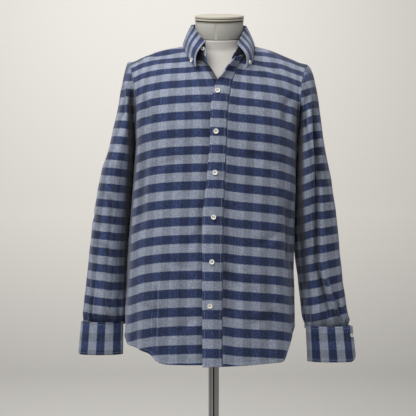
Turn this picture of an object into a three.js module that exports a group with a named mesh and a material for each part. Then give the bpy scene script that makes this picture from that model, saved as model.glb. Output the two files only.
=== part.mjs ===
import * as THREE from "three";

// A long-sleeved flannel shirt with a button-down collar, worn by a limbless dress form on a pole.
// Millimetres, +Z up, the front faces -Y, and the origin is the middle of the base's underside.
// Side -1 is the wearer's right, which is on the left from the front, and side 1 is the wearer's left.

const clothThick = 1.5;
const bandThick = 2;
const seamGap = 0.3;
const armpitGap = 0.9;
const placketLift = 1.6;
const underlapDepth = 2.2;
const underlapBack = 5;

const underarmZ = 1290;
const frontButtons = [
  { x: 7.6, z: 1396.5 },
  { x: 4.3, z: 1306 },
  { x: 2.1, z: 1215 },
  { x: -1.2, z: 1117 },
  { x: -4.9, z: 1018.5 },
  { x: -9.1, z: 921.5 },
];

const bodyRows = 12;
const chestRows = 8;
const yokeRows = 5;
const shoulderColumns = 7;
const backNeckColumns = 6;
const placketColumns = 3;
const sleeveCapRows = 8;
const sleeveRows = 13;
const arcSteps = 40;
const hemLookZ = 800;

const right = -1;
const left = 1;

// The body, by height: its middle, half width, depth before and behind the side seams, and squareness.
const bodySections = [
  { z: 740, middle: -8, half: 202, front: 132, back: 150, power: 2.5 },
  { z: 875, middle: -9, half: 199, front: 131, back: 146, power: 2.5 },
  { z: 1039, middle: -7, half: 195, front: 130, back: 138, power: 2.5 },
  { z: 1170, middle: 0, half: 191, front: 129, back: 132, power: 2.6 },
  { z: 1290, middle: 6, half: 188, front: 128, back: 126, power: 2.7 },
];

// Folds of the body: place round it (0 front, 1 side seam, 2 back), lean per 100 mm up, the heights that
// they run between, half width round the body, and depth, with a minus where the cloth goes in.
const bodyFolds = [
  { at: -0.57, lean: 0.01, from: 740, to: 960, width: 0.07, depth: 7 },
  { at: -0.66, lean: 0.01, from: 740, to: 940, width: 0.06, depth: -7 },
  { at: -0.86, lean: -0.02, from: 760, to: 1250, width: 0.09, depth: -7 },
  { at: 0.88, lean: -0.015, from: 760, to: 1240, width: 0.09, depth: -7 },
  { at: 0.7, lean: -0.012, from: 740, to: 1120, width: 0.1, depth: 4 },
  { at: -0.35, lean: 0.02, from: 740, to: 1100, width: 0.12, depth: 3 },
  { at: 0.42, lean: -0.02, from: 740, to: 1060, width: 0.1, depth: -3 },
  { at: -1.3, lean: 0.03, from: 740, to: 1200, width: 0.13, depth: 9 },
  { at: -1.52, lean: 0.03, from: 740, to: 1240, width: 0.12, depth: -9 },
  { at: -1.75, lean: 0.01, from: 740, to: 1150, width: 0.12, depth: 7 },
  { at: 1.92, lean: 0, from: 740, to: 1180, width: 0.13, depth: -7 },
  { at: 1.66, lean: -0.02, from: 740, to: 1230, width: 0.12, depth: 8 },
  { at: 1.42, lean: -0.03, from: 740, to: 1200, width: 0.12, depth: -8 },
];

// The hem's height by place round the body, from the buttons (0) to the side seam (1) and back (2).
const hems = {
  [right]: [
    { at: -0.2, z: 789 },
    { at: 0, z: 791 },
    { at: 0.36, z: 792 },
    { at: 0.44, z: 798 },
    { at: 0.49, z: 812 },
    { at: 0.56, z: 819 },
    { at: 0.68, z: 824 },
    { at: 0.82, z: 829 },
    { at: 1, z: 838 },
    { at: 1.2, z: 815 },
    { at: 1.5, z: 778 },
    { at: 2, z: 765 },
  ],
  [left]: [
    { at: -0.2, z: 786 },
    { at: 0, z: 787 },
    { at: 0.55, z: 792 },
    { at: 0.63, z: 795 },
    { at: 0.67, z: 814 },
    { at: 0.73, z: 840 },
    { at: 0.85, z: 858 },
    { at: 1, z: 864 },
    { at: 1.2, z: 828 },
    { at: 1.5, z: 780 },
    { at: 2, z: 765 },
  ],
};

// The placket, by height: its free edge and the line of stitches on its other side.
const placketLines = [
  { z: 740, free: -25, stitch: 17.5 },
  { z: 921, free: -26, stitch: 17.7 },
  { z: 1119, free: -24.5, stitch: 19.9 },
  { z: 1201, free: -16.2, stitch: 23.2 },
  { z: 1290, free: -9, stitch: 27.5 },
];

// The collar, from the wearer's right front end (0) round the back (6) to the left one (12): the seam on
// the neckline, the fold, and the leaf's outer edge, with how far the leaf bows out between the last two.
const collarRows = [
  { at: 0, neckX: -17, neckY: -100, neckZ: 1463, foldX: -18.5, foldY: -85, foldZ: 1510,
    edgeX: -41, edgeY: -113, edgeZ: 1449, bowX: -9, bowY: -5 },
  { at: 1, neckX: -42, neckY: -76, neckZ: 1478, foldX: -30, foldY: -65, foldZ: 1524,
    edgeX: -53, edgeY: -90, edgeZ: 1467, bowX: -7, bowY: -5 },
  { at: 2, neckX: -56, neckY: -42, neckZ: 1499, foldX: -40, foldY: -37, foldZ: 1543,
    edgeX: -65, edgeY: -50, edgeZ: 1494, bowX: -6, bowY: -4 },
  { at: 3, neckX: -59, neckY: -8, neckZ: 1517, foldX: -49.5, foldY: -4, foldZ: 1560,
    edgeX: -74, edgeY: -4, edgeZ: 1518, bowX: -5, bowY: 0 },
  { at: 4, neckX: -52, neckY: 28, neckZ: 1527, foldX: -43, foldY: 30, foldZ: 1569,
    edgeX: -66, edgeY: 42, edgeZ: 1527, bowX: -4, bowY: 3 },
  { at: 5, neckX: -26, neckY: 56, neckZ: 1532, foldX: -22, foldY: 54, foldZ: 1573,
    edgeX: -32, edgeY: 74, edgeZ: 1531, bowX: -2, bowY: 4 },
  { at: 6, neckX: 13, neckY: 66, neckZ: 1534, foldX: 13, foldY: 63, foldZ: 1575,
    edgeX: 13, edgeY: 85, edgeZ: 1532, bowX: 0, bowY: 5 },
  { at: 7, neckX: 52, neckY: 56, neckZ: 1532, foldX: 48, foldY: 54, foldZ: 1573,
    edgeX: 58, edgeY: 74, edgeZ: 1531, bowX: 2, bowY: 4 },
  { at: 8, neckX: 77, neckY: 28, neckZ: 1526, foldX: 68, foldY: 30, foldZ: 1567,
    edgeX: 91, edgeY: 42, edgeZ: 1526, bowX: 4, bowY: 3 },
  { at: 9, neckX: 83, neckY: -8, neckZ: 1516, foldX: 74, foldY: -4, foldZ: 1557,
    edgeX: 97, edgeY: -4, edgeZ: 1517, bowX: 5, bowY: 0 },
  { at: 10, neckX: 80, neckY: -42, neckZ: 1500, foldX: 66, foldY: -37, foldZ: 1536,
    edgeX: 92, edgeY: -50, edgeZ: 1493, bowX: 7, bowY: -4 },
  { at: 11, neckX: 64, neckY: -76, neckZ: 1484, foldX: 59, foldY: -65, foldZ: 1518,
    edgeX: 86, edgeY: -88, edgeZ: 1463, bowX: 8, bowY: -5 },
  { at: 12, neckX: 42, neckY: -98, neckZ: 1474, foldX: 52, foldY: -85, foldZ: 1504,
    edgeX: 69, edgeY: -110, edgeZ: 1444, bowX: 12, bowY: -5 },
];
const neckMiddle = new THREE.Vector3(13, -5, 0);
const placketNeckAt = 10.75;
const collarEndAt = 12;
const napeAt = 6;
const shoulderNeckAt = { [right]: 3, [left]: 9 };
const frontNeckAt = { [right]: 0, [left]: placketNeckAt };
const frontNeckColumns = { [right]: 4, [left]: 3 };

// Each shoulder: where the yoke's front seam meets the armhole, and the ridge that the yoke passes there.
const shoulders = {
  [right]: { frontSeam: [-199, -16, 1471], ridge: [-203, 14, 1494] },
  [left]: { frontSeam: [217, -16, 1466], ridge: [221, 14, 1489] },
};
const seamRise = 5;

// How the cloth bends above the underarm, as the way in which columns leave one place and arrive at another,
// in X (outwards on the armhole), Y and Z.
const chestBends = {
  front: [0, -3, 95],
  frontArm: [-2, -90, 2],
  shoulderArm: [-30, -78, -48],
  neck: [0, -80, -42],
  edge: { [right]: [39, -18, -51], [left]: [-31, -42, -55] },
  placketEdge: [-46, -20, -49],
  back: [0, 0, 46],
  backArm: [-1, 74, 2],
  backSeam: [0, 6, -44],
  backSeamArm: [-12, 14, -52],
};
const neckShare = 0.3;

// How the yoke's columns bend: up from the back's seam, over the shoulder, and up to the nape.
const yokeBends = {
  start: [0, -4, 46],
  startArm: [4, -10, 30],
  shoulderBack: 42,
  shoulderUp: { atArm: 14, atNeck: 6 },
  napeBack: 20,
  napeDown: -28,
};

// The seam between back and yoke, from the wearer's right armhole (0) to the left one (1).
const yokeSeam = [
  { at: 0, x: -193, y: 64, z: 1424 },
  { at: 0.12, x: -165, y: 92, z: 1422 },
  { at: 0.3, x: -88, y: 115, z: 1421 },
  { at: 0.5, x: 8, y: 121, z: 1420 },
  { at: 0.7, x: 103, y: 115, z: 1420 },
  { at: 0.88, x: 180, y: 92, z: 1420 },
  { at: 1, x: 208, y: 64, z: 1420 },
];

// Each sleeve, by height: the edge next to the body, the outer edge, half depth, middle and squareness.
const sleeveSections = {
  [right]: [
    { z: 1235, inner: -188, outer: -257, deep: 82, middle: 6, power: 2.3 },
    { z: 1152, inner: -195, outer: -275, deep: 76, middle: 10, power: 2.3 },
    { z: 1046, inner: -203.5, outer: -290, deep: 64, middle: 12, power: 2.2 },
    { z: 952, inner: -207.5, outer: -300, deep: 50, middle: 8, power: 2.2 },
    { z: 900, inner: -210, outer: -306, deep: 42, middle: 4, power: 2.2 },
    { z: 872, inner: -211, outer: -307, deep: 32, middle: 2, power: 2.2 },
  ],
  [left]: [
    { z: 1235, inner: 195, outer: 267, deep: 82, middle: 6, power: 2.3 },
    { z: 1152, inner: 193.5, outer: 282, deep: 76, middle: 10, power: 2.3 },
    { z: 1046, inner: 197, outer: 295, deep: 64, middle: 12, power: 2.2 },
    { z: 952, inner: 208, outer: 304, deep: 50, middle: 8, power: 2.2 },
    { z: 890, inner: 213, outer: 314, deep: 42, middle: 4, power: 2.2 },
    { z: 862, inner: 216, outer: 318, deep: 32, middle: 2, power: 2.2 },
  ],
};

// How each sleeve leaves the shoulder: out and down from its seam, and in and up from its first section.
const sleeveCaps = {
  [right]: { armpit: 8, out: 12, drop: 12, within: 31, above: 84, tuck: 14 },
  [left]: { armpit: 8, out: 25, drop: 10, within: 21, above: 96, tuck: 6 },
};

const armpitRise = 18;

// Folds of the sleeves: place round (0 next to the body, 0.25 front, 0.5 outer edge), heights, half width.
const sleeveFolds = {
  [right]: [
    { at: 0.3, lean: 0.004, from: 880, to: 1330, width: 0.05, depth: -6 },
    { at: 0.4, lean: 0.002, from: 872, to: 1060, width: 0.04, depth: -5 },
    { at: 0.19, lean: 0, from: 880, to: 1200, width: 0.04, depth: 4 },
    { at: 0.72, lean: 0.004, from: 880, to: 1300, width: 0.06, depth: -7 },
    { at: 0.85, lean: 0, from: 880, to: 1180, width: 0.05, depth: 5 },
  ],
  [left]: [
    { at: 0.3, lean: 0.002, from: 900, to: 1420, width: 0.045, depth: -6 },
    { at: 0.22, lean: 0.003, from: 862, to: 1010, width: 0.04, depth: -5 },
    { at: 0.38, lean: 0.004, from: 862, to: 960, width: 0.035, depth: -4 },
    { at: 0.7, lean: -0.004, from: 880, to: 1320, width: 0.06, depth: -7 },
    { at: 0.83, lean: 0, from: 880, to: 1160, width: 0.05, depth: 5 },
  ],
};

// Each cuff: its height, the edges at its top and foot, depth, and the lap at the back of its outer side.
const cuffs = {
  [right]: { top: 872, foot: 796, innerTop: -211, outerTop: -310, innerFoot: -212, outerFoot: -317,
    deepTop: 24, deepFoot: 22, middle: 2, lapAt: 0.62 },
  [left]: { top: 862, foot: 779, innerTop: 215, outerTop: 322, innerFoot: 219, outerFoot: 331,
    deepTop: 24, deepFoot: 22, middle: 2, lapAt: 0.4 },
};
const cuffLap = 0.1;
const cuffAround = 260;
const cuffClear = 0.6;
const cuffColumns = 28;
const cuffRows = 4;
const cuffCorner = 16;

// The collar's stand, from its seam up, and its leaf, which turns over the stand's top edge and falls.
const standRows = [0, 0.35, 0.7, 1];
const standBow = 2;
const standEnd = 0.3;
const standEndDrop = 6;
const leafTurn = [
  { out: -2, up: 2.9 },
  { out: 1.6, up: 2.8 },
  { out: 4, up: -0.5 },
];
const leafRows = 4;

const buttonRadius = 5.7;
const smallButtonRadius = 4.8;
const buttonThick = 2.6;
const buttonDish = 0.7;
const buttonSeat = 0.48;
const leafButtonSeat = 0.9;
const collarButtons = [
  { name: "button_stand", on: "collar_stand", x: -24, z: 1494, seat: buttonSeat },
  { name: "button_collar_right", on: "collar_leaf", x: -48, z: 1467, seat: leafButtonSeat },
  { name: "button_collar_left", on: "collar_leaf", x: 79, z: 1462, seat: leafButtonSeat },
];

// The form, by height: middle, half width, depth before and behind, squareness and forward tilt.
const formSections = [
  { z: 870, middle: -3, half: 138, front: 92, back: 98, power: 2.3, tilt: 0 },
  { z: 960, middle: -2, half: 136, front: 92, back: 96, power: 2.3, tilt: 0 },
  { z: 1080, middle: 0, half: 134, front: 92, back: 92, power: 2.3, tilt: 0 },
  { z: 1200, middle: 3, half: 150, front: 104, back: 102, power: 2.4, tilt: 0 },
  { z: 1300, middle: 6, half: 163, front: 113, back: 110, power: 2.5, tilt: 0 },
  { z: 1370, middle: 8, half: 166, front: 108, back: 110, power: 2.5, tilt: 0 },
  { z: 1420, middle: 9, half: 170, front: 92, back: 104, power: 2.5, tilt: 0 },
  { z: 1452, middle: 10, half: 171, front: 76, back: 92, power: 2.4, tilt: 0 },
  { z: 1473, middle: 11, half: 150, front: 64, back: 80, power: 2.2, tilt: 0.05 },
  { z: 1488, middle: 12, half: 120, front: 58, back: 66, power: 2.1, tilt: 0.1 },
  { z: 1500, middle: 13, half: 86, front: 54, back: 55, power: 2, tilt: 0.15 },
  { z: 1511, middle: 13, half: 62, front: 53, back: 51, power: 2, tilt: 0.21 },
  { z: 1528, middle: 13, half: 55, front: 55, back: 51, power: 2, tilt: 0.21 },
];
const formFaces = 40;
const formTilt = Math.atan(0.21);
const neckRadius = 56;
const neckHeight = 46;
const capHeight = 13;
const capGroove = 0.8;

const poleRadius = 12.5;
const flangeRadius = 46;
const flangeThick = 6;
const baseRadius = 175;
const baseThick = 10;
const baseCollarRadius = 24;
const baseCollarTop = 60;
const roundFaces = 48;
const poleFaces = 32;
const buttonFaces = 20;

const finishes = {
  cloth: new THREE.MeshStandardMaterial({ color: 0x6f7a9c, roughness: 0.95, metalness: 0 }),
  band: new THREE.MeshStandardMaterial({ color: 0x7f89a8, roughness: 0.95, metalness: 0 }),
  button: new THREE.MeshStandardMaterial({ color: 0xe8e4da, roughness: 0.35, metalness: 0 }),
  form: new THREE.MeshStandardMaterial({ color: 0xdedbd2, roughness: 0.45, metalness: 0 }),
  neck: new THREE.MeshStandardMaterial({ color: 0xaaa9a0, roughness: 0.6, metalness: 0 }),
  chrome: new THREE.MeshStandardMaterial({ color: 0xc8cacc, roughness: 0.15, metalness: 1 }),
};

const shirt = new THREE.Group();

function point(x, y, z) {
  return new THREE.Vector3(x, y, z);
}

function mix(from, to, share) {
  return from + (to - from) * share;
}

function ease(share) {
  const held = Math.min(1, Math.max(0, share));
  return held * held * (3 - 2 * held);
}

// The slope of a table's column at a row, from the rows on both sides of it.
function slopeAt(rows, key, name, index) {
  const before = rows[Math.max(0, index - 1)];
  const after = rows[Math.min(rows.length - 1, index + 1)];
  return (after[name] - before[name]) / (after[key] - before[key]);
}

// Reads a table at a place between its rows, on a smooth curve through them.
function readTable(rows, key, place) {
  const last = rows.length - 1;
  const order = Math.sign(rows[last][key] - rows[0][key]);
  let index = 0;
  while (index < last - 1 && place * order > rows[index + 1][key] * order) {
    index += 1;
  }
  const a = rows[index];
  const b = rows[index + 1];
  const width = b[key] - a[key];
  const share = Math.min(1, Math.max(0, (place - a[key]) / width));
  const square = share * share;
  const cube = square * share;
  const values = {};
  for (const name of Object.keys(a)) {
    values[name] = (2 * cube - 3 * square + 1) * a[name] + (3 * square - 2 * cube) * b[name]
      + (cube - 2 * square + share) * width * slopeAt(rows, key, name, index)
      + (cube - square) * width * slopeAt(rows, key, name, index + 1);
  }
  return values;
}

// A point beyond a place, in the way that a bend gives for the side.
function bend(place, [x, y, z], side = left) {
  return place.clone().add(point(side * x, y, z));
}

function bezier(start, leave, arrive, end, share) {
  const curve = new THREE.CubicBezierCurve3(start, leave, arrive, end);
  return curve.getPoint(share);
}

// A quarter of a rounded section, from its middle (0, depth) to its side (half, 0), at a share of its length.
function quarterPoint(half, depth, power, share) {
  const points = [];
  let length = 0;
  for (let step = 0; step <= arcSteps; step += 1) {
    const angle = (step / arcSteps) * (Math.PI / 2);
    const x = half * Math.sin(angle) ** (2 / power);
    const y = depth * Math.max(0, Math.cos(angle)) ** (2 / power);
    if (step > 0) {
      length += Math.hypot(x - points[step - 1].x, y - points[step - 1].y);
    }
    points.push({ x, y, length });
  }
  const target = length * Math.abs(share);
  let step = 1;
  while (step < arcSteps && points[step].length < target) {
    step += 1;
  }
  const low = points[step - 1];
  const high = points[step];
  const within = (target - low.length) / (high.length - low.length);
  return { x: mix(low.x, high.x, within) * Math.sign(share || 1), y: mix(low.y, high.y, within), length };
}

function foldDepth(folds, place, z) {
  let depth = 0;
  for (const fold of folds) {
    const share = (z - fold.from) / (fold.to - fold.from);
    const middle = fold.at + (fold.lean * (z - fold.from)) / 100;
    const across = (place - middle) / fold.width;
    if (share < 1) {
      depth += fold.depth * Math.exp(-across * across) * ease((1 - share) * 1.6);
    }
  }
  return depth;
}

// A point of the body below the underarm: place 0 is the middle front, -1 and 1 the side seams, 2 the back.
function bodyPoint(z, place) {
  const section = readTable(bodySections, "z", z);
  const round = Math.abs(place);
  const side = Math.sign(place) || 1;
  const atFront = round <= 1;
  const depth = atFront ? section.front : section.back;
  const share = atFront ? round : 2 - round;
  const at = quarterPoint(section.half, depth, section.power, share);
  const out = point(at.x / section.half ** 2, at.y / depth ** 2, 0).normalize();
  const wholeTurn = 4;
  const fold = foldDepth(bodyFolds, place, z) + foldDepth(bodyFolds, place - side * wholeTurn, z);
  const x = section.middle + side * (at.x + out.x * fold);
  const y = (at.y + out.y * fold) * (atFront ? -1 : 1);
  return point(x, y, z);
}

// A place on the body's front at a distance from the side's own middle, as a share of that side.
function frontPlace(z, side, x) {
  const section = readTable(bodySections, "z", z);
  const length = quarterPoint(section.half, section.front, section.power, 1).length;
  return (side * (x - section.middle)) / length;
}

function necklinePoint(at) {
  const row = readTable(collarRows, "at", at);
  return point(row.neckX, row.neckY, row.neckZ);
}

function shoulderSeamPoint(side, share) {
  const start = necklinePoint(shoulderNeckAt[side]);
  const end = point(...shoulders[side].frontSeam);
  const seam = start.clone().lerp(end, share);
  seam.z += seamRise * Math.sin(Math.PI * share);
  return seam;
}

function yokeSeamPoint(share) {
  const row = readTable(yokeSeam, "at", share);
  return point(row.x, row.y, row.z);
}

// A front's edge near the buttons, at a height below the underarm.
function frontEdge(z, side) {
  const lines = readTable(placketLines, "z", z);
  return side === left ? lines.stitch : lines.stitch - underlapBack;
}

// One column of a front or placket, from the hem to the neckline or the shoulder seam.
function frontColumn(side, edgeOf, share, end, arrive, pull) {
  const column = [];
  const placeAt = (z) => mix(frontPlace(z, side, edgeOf(z)), 1, share);
  const hemZ = readTable(hems[side], "at", placeAt(hemLookZ)).z;
  for (let row = 0; row < bodyRows; row += 1) {
    const z = mix(hemZ, underarmZ, row / bodyRows);
    column.push(bodyPoint(z, side * placeAt(z)));
  }
  const start = bodyPoint(underarmZ, side * placeAt(underarmZ));
  const armpit = bodyPoint(underarmZ, side);
  const armLeave = bend(armpit, chestBends.frontArm, side);
  const armArrive = bend(point(...shoulders[side].frontSeam), chestBends.shoulderArm, side);
  const leave = bend(start, chestBends.front).lerp(armLeave, pull ** 2);
  const near = end.clone().add(arrive).lerp(armArrive, pull ** 2);
  for (let row = 0; row <= chestRows; row += 1) {
    column.push(bezier(start, leave, near, end, row / chestRows));
  }
  return column;
}

function frontGrid(side) {
  const columns = [];
  const edgeOf = (z) => frontEdge(z, side);
  const neckColumns = frontNeckColumns[side];
  const edgeArrive = point(...chestBends.edge[side]);
  const neckArrive = point(...chestBends.neck);
  for (let index = 0; index < neckColumns; index += 1) {
    const share = index / neckColumns;
    const at = mix(frontNeckAt[side], shoulderNeckAt[side], share);
    const arrive = edgeArrive.clone().lerp(neckArrive, share);
    columns.push(frontColumn(side, edgeOf, neckShare * share, necklinePoint(at), arrive, 0));
  }
  for (let index = 0; index <= shoulderColumns; index += 1) {
    const share = index / shoulderColumns;
    const end = shoulderSeamPoint(side, share);
    columns.push(frontColumn(side, edgeOf, mix(neckShare, 1, share), end, neckArrive, share));
  }
  if (side === right) {
    sinkUnderlap(columns);
  }
  return columns;
}

// The right front goes back where the placket laps over it.
function sinkUnderlap(columns) {
  const depths = [1, 0.9, 0.25];
  depths.forEach((depth, index) => {
    for (const place of columns[index]) {
      place.y += underlapDepth * depth;
    }
  });
}

function placketGrid() {
  const columns = [];
  const freeArrive = point(...chestBends.placketEdge);
  const stitchArrive = point(...chestBends.edge[left]);
  for (let index = 0; index <= placketColumns; index += 1) {
    const across = index / placketColumns;
    const edgeOf = (z) => {
      const lines = readTable(placketLines, "z", z);
      return mix(lines.free, lines.stitch, across);
    };
    const end = necklinePoint(mix(collarEndAt, placketNeckAt, across));
    columns.push(frontColumn(left, edgeOf, 0, end, freeArrive.clone().lerp(stitchArrive, across), 0));
  }
  return columns;
}

function backColumn(share) {
  const column = [];
  const side = share < 0.5 ? right : left;
  const round = 1 + (0.5 - Math.abs(share - 0.5)) * 2;
  const hemZ = readTable(hems[side], "at", round).z;
  for (let row = 0; row < bodyRows; row += 1) {
    column.push(bodyPoint(mix(hemZ, underarmZ, row / bodyRows), side * round));
  }
  const start = bodyPoint(underarmZ, side * round);
  const armpit = bodyPoint(underarmZ, side);
  const end = yokeSeamPoint(share);
  const armLeave = bend(armpit, chestBends.backArm, side);
  const armArrive = bend(yokeSeamPoint(side === right ? 0 : 1), chestBends.backSeamArm, side);
  const pull = Math.abs(share - 0.5) * 2;
  const leave = bend(start, chestBends.back).lerp(armLeave, pull ** 2.4);
  const arrive = bend(end, chestBends.backSeam).lerp(armArrive, pull ** 4);
  for (let row = 0; row <= chestRows; row += 1) {
    column.push(bezier(start, leave, arrive, end, row / chestRows));
  }
  return column;
}

function backGrid() {
  const count = 2 * shoulderColumns + backNeckColumns;
  return Array.from({ length: count + 1 }, (_, index) => backColumn(index / count));
}

// The yoke's columns start on the back's seam and end on the shoulder seams or the back of the neck.
function yokeGrid() {
  const columns = [];
  const count = 2 * shoulderColumns + backNeckColumns;
  for (let index = 0; index <= count; index += 1) {
    const start = yokeSeamPoint(index / count);
    const side = index <= count / 2 ? right : left;
    const fromArm = side === right ? index : count - index;
    const { shoulderBack, shoulderUp, napeBack, napeDown } = yokeBends;
    let leave = bend(start, yokeBends.start);
    let end;
    let arrive;
    if (fromArm <= shoulderColumns) {
      const inward = fromArm / shoulderColumns;
      end = shoulderSeamPoint(side, 1 - inward);
      arrive = bend(end, [0, shoulderBack, mix(shoulderUp.atArm, shoulderUp.atNeck, inward)]);
      const armLeave = bend(start, yokeBends.startArm, side);
      const armArrive = point(...shoulders[side].ridge);
      const pull = (1 - inward) ** 4;
      leave = leave.lerp(armLeave, pull);
      arrive = arrive.lerp(armArrive, pull);
    } else {
      const inward = (fromArm - shoulderColumns) / (backNeckColumns / 2);
      end = necklinePoint(mix(shoulderNeckAt[side], napeAt, inward));
      const steep = ease(inward * 1.5);
      arrive = bend(end, [0, mix(shoulderBack, napeBack, steep), mix(shoulderUp.atNeck, napeDown, steep)]);
    }
    const column = [];
    for (let row = 0; row <= yokeRows; row += 1) {
      column.push(bezier(start, leave, arrive, end, row / yokeRows));
    }
    columns.push(column);
  }
  return columns;
}

// The armhole, from the underarm up the front, over the yoke's end and down the back.
function armholeLoop(side, front, yoke, back) {
  const frontEdgeColumn = front[front.length - 1].slice(bodyRows);
  const yokeColumn = side === right ? yoke[0] : yoke[yoke.length - 1];
  const backColumnHere = side === right ? back[0] : back[back.length - 1];
  const backUp = backColumnHere.slice(bodyRows);
  return [...frontEdgeColumn, ...[...yokeColumn].reverse().slice(1), ...backUp.reverse().slice(1, -1)];
}

function sleeveRing(side, z, shares) {
  const row = readTable(sleeveSections[side], "z", z);
  const middleX = (row.inner + row.outer) / 2;
  const half = Math.abs(row.outer - row.inner) / 2;
  return shares.map((share) => {
    const angle = share * 2 * Math.PI;
    const fold = foldDepth(sleeveFolds[side], share, z);
    const across = -Math.cos(angle);
    const ahead = -Math.sin(angle);
    const x = Math.sign(across) * Math.abs(across) ** (2 / row.power) * half;
    const y = Math.sign(ahead) * Math.abs(ahead) ** (2 / row.power) * row.deep;
    const out = point(x / half ** 2, y / row.deep ** 2, 0).normalize().multiplyScalar(fold);
    return point(middleX + side * (x + out.x), row.middle + y + out.y, z);
  });
}

function sleeveGrid(side, loop) {
  const lengths = [0];
  loop.forEach((place, index) => {
    const next = loop[(index + 1) % loop.length];
    lengths.push(lengths[index] + place.distanceTo(next));
  });
  const shares = loop.map((_, index) => lengths[index] / lengths[loop.length]);
  const sections = sleeveSections[side];
  const topZ = sections[0].z;
  const footZ = sections[sections.length - 1].z;
  const cap = sleeveCaps[side];
  const first = sleeveRing(side, topZ, shares);
  const rings = [];
  for (let row = 0; row < sleeveCapRows; row += 1) {
    const ring = loop.map((place, index) => {
      const high = (1 - Math.cos(shares[index] * 2 * Math.PI)) / 2;
      const frontward = Math.max(0, Math.sin(shares[index] * 2 * Math.PI));
      const tuck = cap.tuck * frontward * (1 - high);
      const leave = bend(place, [mix(cap.armpit, cap.out, high), tuck, -cap.drop], side);
      const arrive = bend(first[index], [-cap.within * high, 0, mix(armpitRise, cap.above, high)], side);
      return bezier(place, leave, arrive, first[index], row / sleeveCapRows);
    });
    rings.push(ring);
  }
  for (let row = 0; row <= sleeveRows; row += 1) {
    rings.push(sleeveRing(side, mix(topZ, footZ + seamGap, row / sleeveRows), shares));
  }
  return rings;
}

// A cuff is one band whose end laps over its start, with the lower corner of that end rounded.
function cuffGrid(side) {
  const cuff = cuffs[side];
  const columns = [];
  for (let index = 0; index <= cuffColumns; index += 1) {
    const turn = mix(0, 1 + cuffLap, index / cuffColumns);
    const angle = (cuff.lapAt + turn) * 2 * Math.PI;
    const over = ease((turn - 1 + cuffLap) / cuffLap) * (bandThick + cuffClear);
    const inCorner = Math.max(0, cuffCorner - (1 + cuffLap - turn) * cuffAround);
    const corner = cuffCorner - Math.sqrt(cuffCorner ** 2 - inCorner ** 2);
    const column = [];
    for (let row = 0; row <= cuffRows; row += 1) {
      const z = mix(cuff.foot + corner, cuff.top, row / cuffRows);
      const share = (z - cuff.foot) / (cuff.top - cuff.foot);
      const inner = mix(cuff.innerFoot, cuff.innerTop, share);
      const outer = mix(cuff.outerFoot, cuff.outerTop, share);
      const half = Math.abs(outer - inner) / 2 + over;
      const deep = mix(cuff.deepFoot, cuff.deepTop, share) + over;
      const x = (inner + outer) / 2 - side * Math.cos(angle) * half;
      const y = cuff.middle - Math.sin(angle) * deep;
      column.push(point(x, y, z));
    }
    columns.push(column);
  }
  return columns;
}

function collarPlaces() {
  const places = [];
  const stretch = (from, to, count) => {
    for (let index = 0; index < count; index += 1) {
      places.push(mix(from, to, index / count));
    }
  };
  stretch(0, shoulderNeckAt[right], 2 * frontNeckColumns[right]);
  stretch(shoulderNeckAt[right], shoulderNeckAt[left], 2 * backNeckColumns);
  stretch(shoulderNeckAt[left], placketNeckAt, 2 * frontNeckColumns[left]);
  stretch(placketNeckAt, collarEndAt, placketColumns);
  places.push(collarEndAt);
  return places;
}

function standGrid() {
  return collarPlaces().map((at) => {
    const row = readTable(collarRows, "at", at);
    const low = point(row.neckX, row.neckY, row.neckZ + 3 * seamGap);
    const high = point(row.foldX, row.foldY, row.foldZ);
    const out = high.clone().sub(neckMiddle).setZ(0).normalize();
    const rounded = Math.max(0, 1 - Math.min(at, collarEndAt - at) / standEnd);
    high.z -= standEndDrop * rounded ** 2;
    return standRows.map((share) => {
      return low.clone().lerp(high, share).addScaledVector(out, standBow * Math.sin(Math.PI * share));
    });
  });
}

function leafGrid() {
  return collarPlaces().map((at) => {
    const row = readTable(collarRows, "at", at);
    const fold = point(row.foldX, row.foldY, row.foldZ);
    const out = fold.clone().sub(neckMiddle).setZ(0).normalize();
    const column = leafTurn.map((turn) => fold.clone().addScaledVector(out, turn.out).add(point(0, 0, turn.up)));
    const start = column[column.length - 1];
    const edge = point(row.edgeX, row.edgeY, row.edgeZ);
    for (let index = 1; index <= leafRows; index += 1) {
      const share = index / leafRows;
      const bow = point(row.bowX, row.bowY, 0).multiplyScalar(Math.sin(Math.PI * share));
      column.push(start.clone().lerp(edge, share).add(bow));
    }
    return column;
  });
}

// Normals and edges that neighbouring pieces share, so that their edges stay parallel at a seam. A sleeve
// is kept apart from the body pieces that it meets, because the two can turn back on each other.
const seams = new Map();

function seamKey(place) {
  return [place.x, place.y, place.z].map((value) => Math.round(value * 100)).join(",");
}

function noteSeam(place, normal, isSleeve) {
  const key = seamKey(place);
  if (!seams.has(key)) {
    seams.set(key, { body: point(0, 0, 0), sleeve: point(0, 0, 0) });
  }
  const seam = seams.get(key);
  (isSleeve ? seam.sleeve : seam.body).add(normal);
}

function seamNormal(place) {
  const { body, sleeve } = seams.get(seamKey(place));
  return body.clone().normalize().add(sleeve.clone().normalize()).normalize();
}

function gridNormals(grid, around, out) {
  const columns = grid.length;
  return grid.map((column, i) => column.map((_, j) => {
    const after = around ? grid[(i + 1) % columns][j] : grid[Math.min(columns - 1, i + 1)][j];
    const before = around ? grid[(i - 1 + columns) % columns][j] : grid[Math.max(0, i - 1)][j];
    const above = column[Math.min(column.length - 1, j + 1)];
    const below = column[Math.max(0, j - 1)];
    const across = after.clone().sub(before);
    const along = above.clone().sub(below);
    return across.cross(along).normalize().multiplyScalar(out);
  }));
}

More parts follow.
